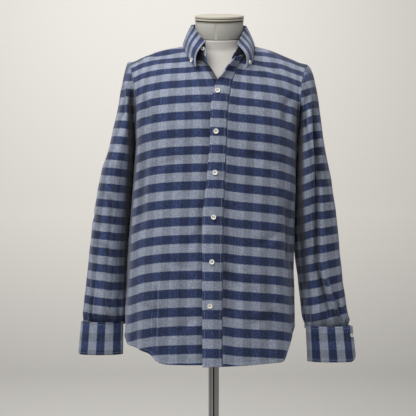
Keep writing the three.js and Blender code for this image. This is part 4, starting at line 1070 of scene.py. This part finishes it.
sleeveCreases = {
    right: table(creaseColumns,
        (-212, 1440, -206, 1330, 3, 5, -4, 0.8), (-226, 1300, -262, 900, 6, 8, -4, 0.5),
        (-285, 968, -296, 872, 0, 3, -4, 0.9), (-276, 956, -284, 874, 0, 3, -3.4, 0.9),
        (-262, 1180, -225, 1120, 3, 8, -3, 0.6), (-275, 1060, -230, 1020, 3, 9, -3, 0.6),
        (-255, 935, -240, 874, 0, 4, -3, 0.7), (-222, 940, -220, 874, 0, 4, -3, 0.7),
        (-296, 1130, -250, 1085, 3, 8, -2.4, 0.6)),
    left: table(creaseColumns,
        (226, 1440, 228, 930, 6, 4.2, -14, -0.7), (212, 1400, 208, 1300, -3, 6, -6, 0.6),
        (213, 1330, 216, 960, 3, 8, -4, 0), (236, 1012, 273, 868, 0, 4.4, -11, 0.95),
        (252, 972, 282, 868, 0, 3.6, -10, 0.95), (262, 940, 290, 866, 0, 3.2, -8, 0.95),
        (284, 930, 302, 864, 0, 3.0, -6.5, 0.95), (296, 905, 312, 864, 0, 2.8, -5, 0.95),
        (226, 1180, 256, 1235, 3, 9, -3, 0.6), (250, 1290, 262, 1190, 3, 8, -3, 0.5),
        (220, 905, 222, 864, 0, 4, -3, 0.7)),
}
sleeveBackCreases = table(creaseColumns,
    (228, 1330, 262, 960, 8, 9, -5, 0.7), (250, 1010, 285, 880, 0, 4, -4, 0.9),
    (262, 990, 296, 878, 0, 4, -3.5, 0.9), (230, 1120, 280, 1070, 5, 9, -3, 0.7),
    (226, 1010, 262, 955, 4, 8, -2.6, 0.7), (232, 1250, 268, 1180, 4, 10, -3, 0.6))


# The sleeve's end is gathered in under the top edge of the cuff
def gathered(side, points):
    gather = sleeveCut["gather"]
    ends = {key: values[-1] for key, values in sleeveCut["sections"][side].items()}
    middle = (ends["inner"] + ends["outer"]) / 2
    near = ease((ends["z"] + gather["height"] - points[..., 2]) / gather["height"])
    tucked = ease((ends["z"] + gather["tuckHeight"] - points[..., 2]) / gather["tuckHeight"])
    x = middle + (points[..., 0] - middle) * (1 - gather["narrower"] * near)
    y = ends["middle"] + (points[..., 1] - ends["middle"]) * (1 - gather["flatter"] * near)
    return np.stack([x, y, points[..., 2] - gather["tuck"] * tucked], axis=-1)


def makeSleeve(side, name, worn):
    points = sleevePanel(side, armholeLoop(side, worn))
    x, y, z = points[..., 0], points[..., 1], points[..., 2]
    normals = gridNormals(points, True, -side)
    ahead = facesFront(normals)
    depth = mix(creaseDepth(sleeveBackCreases, np.abs(x), z), creaseDepth(sleeveCreases[side], x, z), ahead)
    fade = ease(upLength(points) / 9) * ease((z - sleeveCut["sections"][side]["z"][-1]) / 6 + 0.2)
    points = recessed(points + normals * ((depth + ripple(x, y, z)) * fade)[..., None])
    across = acrossLength(np.concatenate([points, points[:1]]), sleeveCut["measuredRow"])
    uv = np.stack([np.broadcast_to(across[:-1, None], z.shape), sleeveWeft(side, x, z)], axis=-1)
    # painted shade: darker in the recesses at the front and in the creases' valleys
    shade = mix(1, recessShade(points), ahead) * valleyShade(depth, shadeLook["sleeveValley"])
    points = gathered(side, points)
    clothPiece(name, points, uv, flannelSleeve, -side, around=True, closeUv=across[-1], shade=shade)


def makeCuff(side, name):
    points = cuffPanel(side)
    across = acrossLength(points, 0)
    x, y = points[:, 0, 0], points[:, 0, 1]
    toDark = np.where(y < 0, np.abs(x - check["cuffDarkAt"][side]), np.inf)
    across = across - across[np.argmin(toDark)] + check["darkMiddle"]
    uv = np.stack([np.broadcast_to(across[:, None], points.shape[:2]), points[..., 2]], axis=-1)
    clothPiece(name, points, uv, flannelTurned, side, cuffCut["thick"])


def makeCollar():
    fromEnd = fromCollarEnd()[:, None]
    # painted shade on the stand near its ends, where the leaf overhangs it; its very ends stay lit
    hidden = 1 - shadeLook["stand"] * ease((fromEnd - 0.06) / 0.2) * ease((4 - fromEnd) / 2)
    for name, points, out, material in (("collar_stand", standPanel(), -1, flannel),
            ("collar_leaf", leafPanel(), 1, flannelTurned)):
        around = acrossLength(points, -1)[:, None] + collarCut["checkFrom"]
        uv = np.stack([np.broadcast_to(around, points.shape[:2]), upLength(points)], axis=-1)
        shade = np.broadcast_to(hidden, points.shape[:2]) if name == "collar_stand" else None
        clothPiece(name, points, uv, material, out, collarCut["thick"], shade=shade)


wornPanels = makeBody()
for side, name in ((right, "right"), (left, "left")):
    makeSleeve(side, "sleeve_" + name, wornPanels)
    makeCuff(side, "cuff_" + name)
makeCollar()
print("cloth made")


# Hard pieces: modelled in edit mode about the middle of the floor, then put in their place

def startEdit(piece):
    makeActive(piece)
    bpy.ops.object.mode_set(mode="EDIT")
    bpy.ops.mesh.select_mode(type="FACE")
    bpy.ops.mesh.select_all(action="DESELECT")


def endEdit():
    bpy.ops.object.mode_set(mode="OBJECT")


def pickFaces(piece, test):
    shape = bmesh.from_edit_mesh(piece.data)
    for face in shape.faces:
        face.select_set(bool(test(face.calc_center_median(), face.normal)))
    shape.select_flush_mode()
    bmesh.update_edit_mesh(piece.data)


def roundEdges(piece, width, segments, angle=0.6):
    bevel = piece.modifiers.new("rounding", "BEVEL")
    bevel.width = width * mm
    bevel.segments = segments
    bevel.angle_limit = angle
    applyModifiers(piece)


def finishPiece(piece, nodes, smooth=0.6):
    makeActive(piece)
    bpy.ops.object.transform_apply(location=True, rotation=True, scale=True)
    bpy.ops.object.shade_smooth_by_angle(angle=smooth)
    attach(piece, "root")
    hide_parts(*nodes)


def cylinder(name, radius, low, high, faces, material):
    deselectAll()
    bpy.ops.mesh.primitive_cylinder_add(vertices=faces, radius=radius * mm, depth=(high - low) * mm,
        location=(0, 0, (low + high) / 2 * mm))
    piece = bpy.context.active_object
    bpy.ops.object.transform_apply(location=True)
    piece.name = piece.data.name = name
    piece.data.materials.append(material)
    return piece


# Buttons: a rim round a dish, four holes and two loops of thread

buttonLook = {
    "radius": 5.7, "thick": 2.6, "rim": 1.5, "dish": 0.75, "holes": 1.45, "hole": 0.72, "thread": 0.36,
    "small": 4.8,      # the radius of the cuffs' and the collar's buttons
    "cuffMiddle": (0.265, 0.002), "bodyMiddle": (0.013, 0.05),      # metres
    "pearl": rgb(250, 249, 242), "pearlDeep": rgb(222, 218, 204),
    "sewing": rgb(92, 98, 118), "sewingDark": rgb(52, 58, 84),
}


def makePearl():
    finish = Finish("button_pearl")
    place = finish.coords(3)
    swirl = finish.noise(place, 420.0, 3.0, 0.6)
    speck = finish.noise(place, 2600.0, 2.0)
    colour = finish.mix(((swirl - 0.42) * 2.4).held(), buttonLook["pearl"], buttonLook["pearlDeep"])
    return finish.set(Base_Color=colour, Roughness=0.2 + speck * 0.2, Coat_Weight=0.35, Coat_Roughness=0.15,
        Normal=finish.bump(swirl + speck * 0.3, 0.0001, 0.3))


def makeThread(name, pale, dark):
    finish = Finish(name)
    place = finish.coords(3)
    fibre = finish.noise(place, 3800.0, 3.0, 0.7)
    colour = finish.mix(((fibre - 0.35) * 2.6).held(), dark, pale)
    return finish.set(Base_Color=colour, Roughness=0.85, Specular_IOR_Level=0.25,
        Normal=finish.bump(fibre, 0.0001, 0.6))


def joinPieces(first, others):
    makeActive(first)
    for other in others:
        other.select_set(True)
    bpy.ops.object.join()


def drillHoles(button, pearl):
    look = buttonLook
    drills = []
    for x in (-1, 1):
        for y in (-1, 1):
            drill = cylinder("drill", look["hole"], -1, look["thick"] + 1, 16, pearl)
            drill.location = (x * look["holes"] * mm, y * look["holes"] * mm, 0)
            drills.append(drill)
    joinPieces(drills[0], drills)
    bpy.ops.object.transform_apply(location=True)
    drilling = button.modifiers.new("holes", "BOOLEAN")
    drilling.object = drills[0]
    applyModifiers(button)
    bpy.data.objects.remove(drills[0])


def threadLoops(thread):
    look = buttonLook
    loops = []
    for x in (-1, 1):
        deselectAll()
        bpy.ops.mesh.primitive_torus_add(major_radius=look["holes"] * mm, minor_radius=look["thread"] * mm,
            major_segments=20, minor_segments=8, rotation=(0, math.pi / 2, 0),
            location=(x * look["holes"] * mm, 0, (look["thick"] - look["dish"] - 0.25) * mm))
        loop = bpy.context.active_object
        loop.scale = (0.5, 1, 1.5)
        bpy.ops.object.transform_apply(location=True, rotation=True, scale=True)
        loop.data.materials.append(thread)
        loops.append(loop)
    return loops


def makeButtonPattern(pearl, thread):
    look = buttonLook
    button = cylinder("button_pattern", look["radius"], 0, look["thick"], 48, pearl)
    startEdit(button)
    pickFaces(button, lambda middle, normal: normal.z > 0.9)
    bpy.ops.mesh.inset(thickness=look["rim"] * mm)
    bpy.ops.mesh.extrude_region_move(TRANSFORM_OT_translate={"value": (0, 0, -look["dish"] * mm)})
    bpy.ops.transform.resize(value=(0.9, 0.9, 1))
    pickFaces(button, lambda middle, normal: normal.z < -0.9)
    bpy.ops.transform.resize(value=(0.84, 0.84, 1))
    endEdit()
    roundEdges(button, 0.4, 3)
    drillHoles(button, pearl)
    joinPieces(button, threadLoops(thread))
    return button


# Where a button of the frame sits: its foot, and the way it faces, away from the middle of the cuff or body
def buttonPlace(name):
    points = np.array([vertex.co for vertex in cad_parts[name].data.vertices])
    points = np.unique(points.round(6), axis=0)
    middle = points.mean(axis=0)
    facing = np.linalg.eigh(np.cov((points - middle).T))[1][:, 0]
    x, y = buttonLook["bodyMiddle"]
    if "cuff" in name:
        x, y = buttonLook["cuffMiddle"]
        x = x * np.sign(middle[0])
    if np.dot(facing, middle - np.array([x, y, middle[2]])) < 0:
        facing = -facing
    foot = middle + facing * ((points - middle) @ facing).min()
    return foot, facing


def makeButtons():
    pearl = makePearl()
    thread = makeThread("thread_button", buttonLook["sewing"], buttonLook["sewingDark"])
    pattern = makeButtonPattern(pearl, thread)
    for name in [node for node in sorted(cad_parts) if node.startswith("button_")]:
        foot, facing = buttonPlace(name)
        up = unit(np.array([0, 0, 1.0]) - facing * facing[2])
        size = 1 if "front" in name else buttonLook["small"] / buttonLook["radius"]
        turn = Matrix([[*column] for column in (np.cross(up, facing), up, facing)]).transposed().to_4x4()
        copy = pattern.copy()
        copy.data = pattern.data.copy()
        copy.name = copy.data.name = name + "_pearl"
        bpy.context.scene.collection.objects.link(copy)
        shrink = Matrix.Diagonal((size, size, 1, 1))      # a smaller button is as thick as a large one
        copy.data.transform(Matrix.Translation(foot) @ turn @ shrink)
        finishPiece(copy, [name])
    bpy.data.objects.remove(pattern)


makeButtons()
print("buttons made")

# The dress form: a smooth shell, a grey neck block and a cream cap with two grooves

formLook = {
    "tilt": 0.267, "radius": 56, "neck": (0.3, 38), "cap": (38.3, 51.3),
    "grooves": ((38.6, 41.9), (45.5, 47.3)), "groove": 1.6,
    "seams": (-0.16, 0.30), "seamWidth": 0.03, "seam": 0.35,
    "neckAt": (0.013, 0, 1.5345), "topFrom": 1.498, "topOver": 0.03, "topRise": 0.0065,      # metres
    "topTilt": 0.057,      # the rise of the torso's top for each metre towards the back
    "shell": rgb(188, 186, 182), "shellWorn": rgb(177, 175, 170),
    "block": rgb(184, 183, 177), "blockDark": rgb(174, 173, 167),
    "cream": rgb(200, 195, 182), "creamWorn": rgb(188, 182, 169),
    "ring": rgb(72, 62, 54), "ringDark": rgb(50, 44, 40),
}


def makeShell(name, pale, worn, rough=0.34, grain=900.0):
    finish = Finish(name)
    place = finish.coords(3)
    broad = finish.noise(place, 9.0, 3.0)
    fine = finish.noise(place, grain, 2.0)
    scuffs = (finish.noise(finish.stretched(place, (60.0, 60.0, 14.0)), 1.0, 5.0, 0.7) - 0.6) * 5
    colour = finish.mix((broad * 0.7 + scuffs.held() * 0.5 - 0.1).held(), pale, worn)
    return finish.set(Base_Color=colour, Roughness=(rough + scuffs.held() * 0.2 + fine * 0.08),
        Normal=finish.bump(fine * 0.3 + broad * 0.6, 0.0004, 0.35), Specular_IOR_Level=0.25)


def makeTorso():
    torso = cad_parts["form_torso"].copy()
    torso.data = torso.data.copy()
    bpy.context.scene.collection.objects.link(torso)
    for key in list(torso.keys()):
        del torso[key]
    torso.parent = None
    torso.name = torso.data.name = "form_torso_shell"
    makeActive(torso)
    bpy.ops.object.mode_set(mode="EDIT")
    bpy.ops.mesh.select_all(action="SELECT")
    bpy.ops.mesh.remove_doubles(threshold=0.00005)
    bpy.ops.mesh.tris_convert_to_quads(face_threshold=0.7, shape_threshold=1.4)
    bpy.ops.mesh.select_mode(type="EDGE")
    bpy.ops.mesh.select_all(action="DESELECT")
    bpy.ops.mesh.edges_select_sharp(sharpness=0.9)
    bpy.ops.transform.edge_crease(value=0.9)
    endEdit()
    for vertex in torso.data.vertices:          # its top follows the neck block's lean
        share = min(1, max(0, (vertex.co.z - formLook["topFrom"]) / formLook["topOver"]))
        vertex.co.z += share * (formLook["topRise"] + vertex.co.y * formLook["topTilt"])
    smoother = torso.modifiers.new("smoother", "SUBSURF")
    smoother.levels = smoother.render_levels = 2
    applyModifiers(torso)
    torso.data.materials.clear()
    torso.data.materials.append(makeShell("shell_ivory", formLook["shell"], formLook["shellWorn"]))
    finishPiece(torso, ["form_torso"], 0.9)


def tiltOnNeck(piece, node):
    piece.rotation_euler = (formLook["tilt"], 0, 0)
    piece.location = formLook["neckAt"]
    finishPiece(piece, [node])


def makeNeck():
    low, high = formLook["neck"]
    block = makeShell("neck_grey", formLook["block"], formLook["blockDark"], 0.55, 1600.0)
    neck = cylinder("form_neck_block", formLook["radius"], low, high, 120, block)
    startEdit(neck)
    front = -math.pi / 2
    onSeam = lambda turn: any(abs(turn - front - seam) < formLook["seamWidth"] for seam in formLook["seams"])
    pickFaces(neck, lambda middle, normal: abs(normal.z) < 0.5 and onSeam(math.atan2(middle.y, middle.x)))
    bpy.ops.mesh.inset(thickness=0.25 * mm)
    bpy.ops.transform.shrink_fatten(value=-formLook["seam"] * mm)
    endEdit()
    roundEdges(neck, 0.8, 3, 1.2)
    tiltOnNeck(neck, "form_neck")


def makeCap():
    low, high = formLook["cap"]
    cream = makeShell("cap_cream", formLook["cream"], formLook["creamWorn"], 0.55)
    cap = cylinder("form_cap_cream", formLook["radius"] + 1, low, high, 120, cream)
    startEdit(cap)
    for height in [edge for groove in formLook["grooves"] for edge in groove]:
        bpy.ops.mesh.select_all(action="SELECT")
        bpy.ops.mesh.bisect(plane_co=(0, 0, height * mm), plane_no=(0, 0, 1))
    bpy.ops.mesh.select_mode(type="FACE")
    inGroove = lambda z: any(groove[0] * mm < z < groove[1] * mm for groove in formLook["grooves"])
    pickFaces(cap, lambda middle, normal: abs(normal.z) < 0.5 and inGroove(middle.z))
    bpy.ops.mesh.extrude_region_shrink_fatten(TRANSFORM_OT_shrink_fatten={"value": -formLook["groove"] * mm})
    cap.data.materials.append(makeShell("cap_rings", formLook["ring"], formLook["ringDark"], 0.5))
    cap.active_material_index = 1
    bpy.ops.object.material_slot_assign()
    pickFaces(cap, lambda middle, normal: normal.z > 0.9 and middle.z > (high - 1) * mm)
    bpy.ops.mesh.inset(thickness=3 * mm)
    bpy.ops.transform.translate(value=(0, 0, 0.5 * mm))
    endEdit()
    roundEdges(cap, 0.5, 2)
    tiltOnNeck(cap, "form_cap")


# The stand: a flange under the form, a chromed pole and a heavy round base

standLook = {
    "flange": (46, 863.7, 869.7), "pole": (12.5, 10.3, 863.4),      # radius, foot and top
    "base": 175, "baseThick": 10, "hub": 24, "hubTop": 60,
    # The chrome's third colour and the line value make the pole's painted reflection
    "chrome": rgb(214, 215, 217), "chromeDark": rgb(150, 152, 156), "paintedReflection": rgb(38, 38, 42),
    "reflectionLine": 0.13, "steel": rgb(196, 197, 198), "steelDark": rgb(160, 161, 164),
}


def makeMetal(name, pale, dark, rough, brushed):
    finish = Finish(name)
    place = finish.coords(3)
    x, y, z = finish.parts(place)
    radius = (x * x + y * y).math("SQRT")
    if brushed:
        rings = finish.node("ShaderNodeCombineXYZ", X=radius * 1400.0, Y=z * 60.0)
        marks = finish.noise(rings, 1.0, 3.0, 0.6)
    else:
        marks = finish.noise(finish.stretched(place, (160.0, 160.0, 1.2)), 1.0, 2.0)
    dust = finish.noise(place, 700.0, 2.0)
    colour = finish.mix(((marks - 0.4) * 1.8).held(), pale, dark)
    if not brushed:             # polished: a painted reflection, dark lines painted down it on four sides, standing in for a dark room that it mirrors
        diagonal = (x * y).math("ABSOLUTE") / (radius * radius)
        colour = finish.mix(diagonal.step(standLook["reflectionLine"], 0.06), standLook["paintedReflection"], colour)
    return finish.set(Base_Color=colour, Metallic=1.0, Roughness=rough + marks * 0.12 + dust * 0.05,
        Normal=finish.bump(marks, 0.0002, 0.2 if brushed else 0.06))


def makeFlange(steel):
    radius, low, high = standLook["flange"]
    flange = cylinder("form_flange_plate", radius, low, high, 96, steel)
    startEdit(flange)
    pickFaces(flange, lambda middle, normal: normal.z < -0.9)
    bpy.ops.mesh.inset(thickness=3 * mm)
    bpy.ops.transform.translate(value=(0, 0, 1 * mm))
    endEdit()
    roundEdges(flange, 0.8, 3)
    finishPiece(flange, ["form_flange"])


def makePole(chrome):
    radius, low, high = standLook["pole"]
    pole = cylinder("stand_pole_tube", radius, low, high, 96, chrome)
    startEdit(pole)
    for height in (standLook["hubTop"] + 4, standLook["hubTop"] + 10, high - 14, high - 8):
        bpy.ops.mesh.select_all(action="SELECT")
        bpy.ops.mesh.bisect(plane_co=(0, 0, height * mm), plane_no=(0, 0, 1))
    endEdit()
    roundEdges(pole, 0.8, 3)
    finishPiece(pole, ["stand_pole"])


def makeBase(steel):
    base = cylinder("stand_base_disc", standLook["base"], 0, standLook["baseThick"], 160, steel)
    startEdit(base)
    pickFaces(base, lambda middle, normal: normal.z > 0.9)
    bpy.ops.mesh.inset(thickness=(standLook["base"] - standLook["hub"] - 8) * mm)
    bpy.ops.mesh.inset(thickness=8 * mm)
    lift = standLook["hubTop"] - standLook["baseThick"]
    bpy.ops.mesh.extrude_region_move(TRANSFORM_OT_translate={"value": (0, 0, lift * mm)})
    bpy.ops.mesh.inset(thickness=(standLook["hub"] - standLook["pole"][0] - 0.3) * mm)
    bpy.ops.mesh.extrude_region_move(TRANSFORM_OT_translate={"value": (0, 0, -lift * mm)})
    endEdit()
    roundEdges(base, 2.5, 4)
    finishPiece(base, ["stand_base"])


makeTorso()
makeNeck()
makeCap()
polished = makeMetal("chrome_pole", standLook["chrome"], standLook["chromeDark"], 0.08, False)
brushed = makeMetal("steel_brushed", standLook["steel"], standLook["steelDark"], 0.28, True)
makeFlange(brushed)
makePole(polished)
makeBase(brushed)
print("form and stand made")


# Sewing: rows of short raised stitches along the seams, and worked buttonholes

sewingLook = {
    "pitch": 3.2, "stitch": (2.4, 0.7, 0.4), "sunk": 0.06,      # a stitch's length, width and height
    "edgeGap": 5.0, "hemGap": bodyCut["hemBand"], "seamGap": 2.0, "armholeGap": 2.5, "standGap": 3.0,
    "hole": 15.5, "holeWide": 1.9, "bars": 44, "bar": (1.2, 0.55, 0.35),
    "thread": rgb(160, 168, 190), "threadDark": rgb(112, 120, 150),
    "holeThread": rgb(104, 112, 140), "holeDark": rgb(40, 48, 80),
}
cuffRows = {"foot": "edgeGap", "top": "edgeGap", "last": "edgeGap"}
sewingRows = {      # the edges that each panel's stitches follow, and the gap that they keep from them
    "front_right": {"foot": "hemGap", "last": "armholeGap"},
    "front_left": {"foot": "hemGap", "last": "armholeGap", "first": "seamGap"},
    "front_placket": {"first": "edgeGap", "last": "edgeGap", "foot": "hemGap"},
    "back": {"foot": "hemGap", "top": "seamGap"}, "yoke": {"foot": "seamGap", "top": "seamGap"},
    "cuff_right": cuffRows, "cuff_left": cuffRows,
    "collar_leaf": {"top": "edgeGap", "first": "edgeGap", "last": "edgeGap"},
    "collar_stand": {"top": "standGap"},
    "sleeve_right": {"foot": "seamGap"}, "sleeve_left": {"foot": "seamGap"},
}
stitchShape = np.array([(-0.5, -0.5, 0), (0.5, -0.5, 0), (0.5, 0.5, 0), (-0.5, 0.5, 0),
    (-0.34, -0.3, 1), (0.34, -0.3, 1), (0.34, 0.3, 1), (-0.34, 0.3, 1)])
stitchFaces = np.array([(0, 3, 2, 1), (4, 5, 6, 7), (0, 1, 5, 4), (1, 2, 6, 5), (2, 3, 7, 6), (3, 0, 4, 7)])


def stitchesAt(middles, along, out, size):
    across = np.cross(out, along)
    x, y, z = (stitchShape * np.array(size)).T[:, None, :, None]
    directions = [direction[:, None] for direction in (along, across, out)]
    corners = directions[0] * x + directions[1] * y + directions[2] * (z - sewingLook["sunk"])
    return (middles[:, None] + corners).reshape(-1, 3)


# Stitches spaced evenly along a line of points that lie on the cloth
def seamStitches(line, out):
    length, pitch = runLength(line), sewingLook["pitch"]
    at = np.arange(pitch, length[-1] - pitch / 2, pitch)
    spot = lambda places, grid: np.stack([np.interp(places, length, values) for values in grid.T], axis=-1)
    along = unit(spot(at + 1, line) - spot(at - 1, line))
    normal = spot(at, out)
    normal = unit(normal - along * (normal * along).sum(axis=1, keepdims=True))
    return stitchesAt(spot(at, line), along, normal, sewingLook["stitch"])


def sewnPiece(name, parts, material):
    points = np.concatenate(parts)
    count = len(points) // len(stitchShape)
    faces = (stitchFaces[None] + np.arange(count)[:, None, None] * len(stitchShape)).reshape(-1, 4)
    piece = meshPiece(name, points, faces, material, smooth=False)
    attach(piece, "root")


# A line on a panel, and its normals, at a distance from one of the panel's edges
def insetLine(points, normals, edge, distance):
    if edge in ("foot", "top"):
        points, normals = np.swapaxes(points, 0, 1), np.swapaxes(normals, 0, 1)
    if edge in ("last", "top"):
        points, normals = points[::-1], normals[::-1]
    inwards = runLength(points)
    both = np.concatenate([points, normals], axis=-1)
    line = np.array([[np.interp(distance, inwards[:, place], values) for values in both[:, place].T]
        for place in range(points.shape[1])])
    return line[:, :3], unit(line[:, 3:])


def makeSewing():
    thread = makeThread("thread_seam", sewingLook["thread"], sewingLook["threadDark"])
    for name, rows in sewingRows.items():
        points, normals = sewn[name]
        lines = [insetLine(points, normals, edge, sewingLook[gap]) for edge, gap in rows.items()]
        parts = [seamStitches(*line) for line in lines]
        sewnPiece(name + "_sewing", parts, thread)


# A buttonhole: an oval of close bars round a slit, upright under each button of the placket
def makeButtonholes():
    look = sewingLook
    thread = makeThread("thread_hole", look["holeThread"], look["holeDark"])
    points, normals = sewn["front_placket"]
    flatPoints, flatNormals = points.reshape(-1, 3), normals.reshape(-1, 3)
    parts = []
    turn = np.linspace(0, 2 * np.pi, look["bars"], endpoint=False)
    straight = (look["hole"] - look["holeWide"]) / 2
    for name in [node for node in sorted(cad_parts) if node.startswith("button_front")]:
        foot, _ = buttonPlace(name)
        near = np.linalg.norm(flatPoints * mm - foot, axis=1).argsort()[:6]
        normal = unit(flatNormals[near].mean(axis=0))
        up = unit(np.array([0, 0, 1.0]) - normal * normal[2])
        aside = np.cross(up, normal)
        level = (flatPoints[near].mean(axis=0) - foot / mm) @ normal
        middle = foot / mm + normal * level
        spread = np.sign(np.sin(turn)) * np.minimum(np.abs(np.sin(turn)) * 1.4, 1) * straight
        rim = np.cos(turn) * look["holeWide"] / 2
        middles = middle + up * spread[:, None] + aside * rim[:, None]
        bars = np.where(np.abs(np.sin(turn))[:, None] > 0.9, up[None], aside[None])
        parts.append(stitchesAt(middles, bars, np.broadcast_to(normal, middles.shape), look["bar"]))
    sewnPiece("buttonholes", parts, thread)


makeSewing()
makeButtonholes()
print("sewing made")


def makeStage():
    floor, half, bend = Finish("floor_pale"), studio["half"], studio["bend"]
    _, _, height = floor.parts(floor.coords(3))
    # painted shade: darker towards the floor, paler up the wall
    colour = floor.mix((height / studio["paleFrom"]).held(), (*studio["floor"], 1), (*studio["wall"], 1))
    material = floor.set(Base_Color=colour, Roughness=0.9)
    profile = [(-half, 0), (studio["wallAt"] - bend, 0)]
    for step in range(1, 13):
        angle = step / 12 * math.pi / 2
        profile.append((studio["wallAt"] - bend + bend * math.sin(angle), bend - bend * math.cos(angle)))
    profile.append((studio["wallAt"], studio["wallHeight"]))
    points = [(x, y, z) for x in (-half, half) for y, z in profile]
    count = len(profile)
    faces = np.array([(i, count + i, count + i + 1, i + 1) for i in range(count - 1)])
    meshPiece("backdrop", np.array(points) / mm, faces, material)


makeStage()
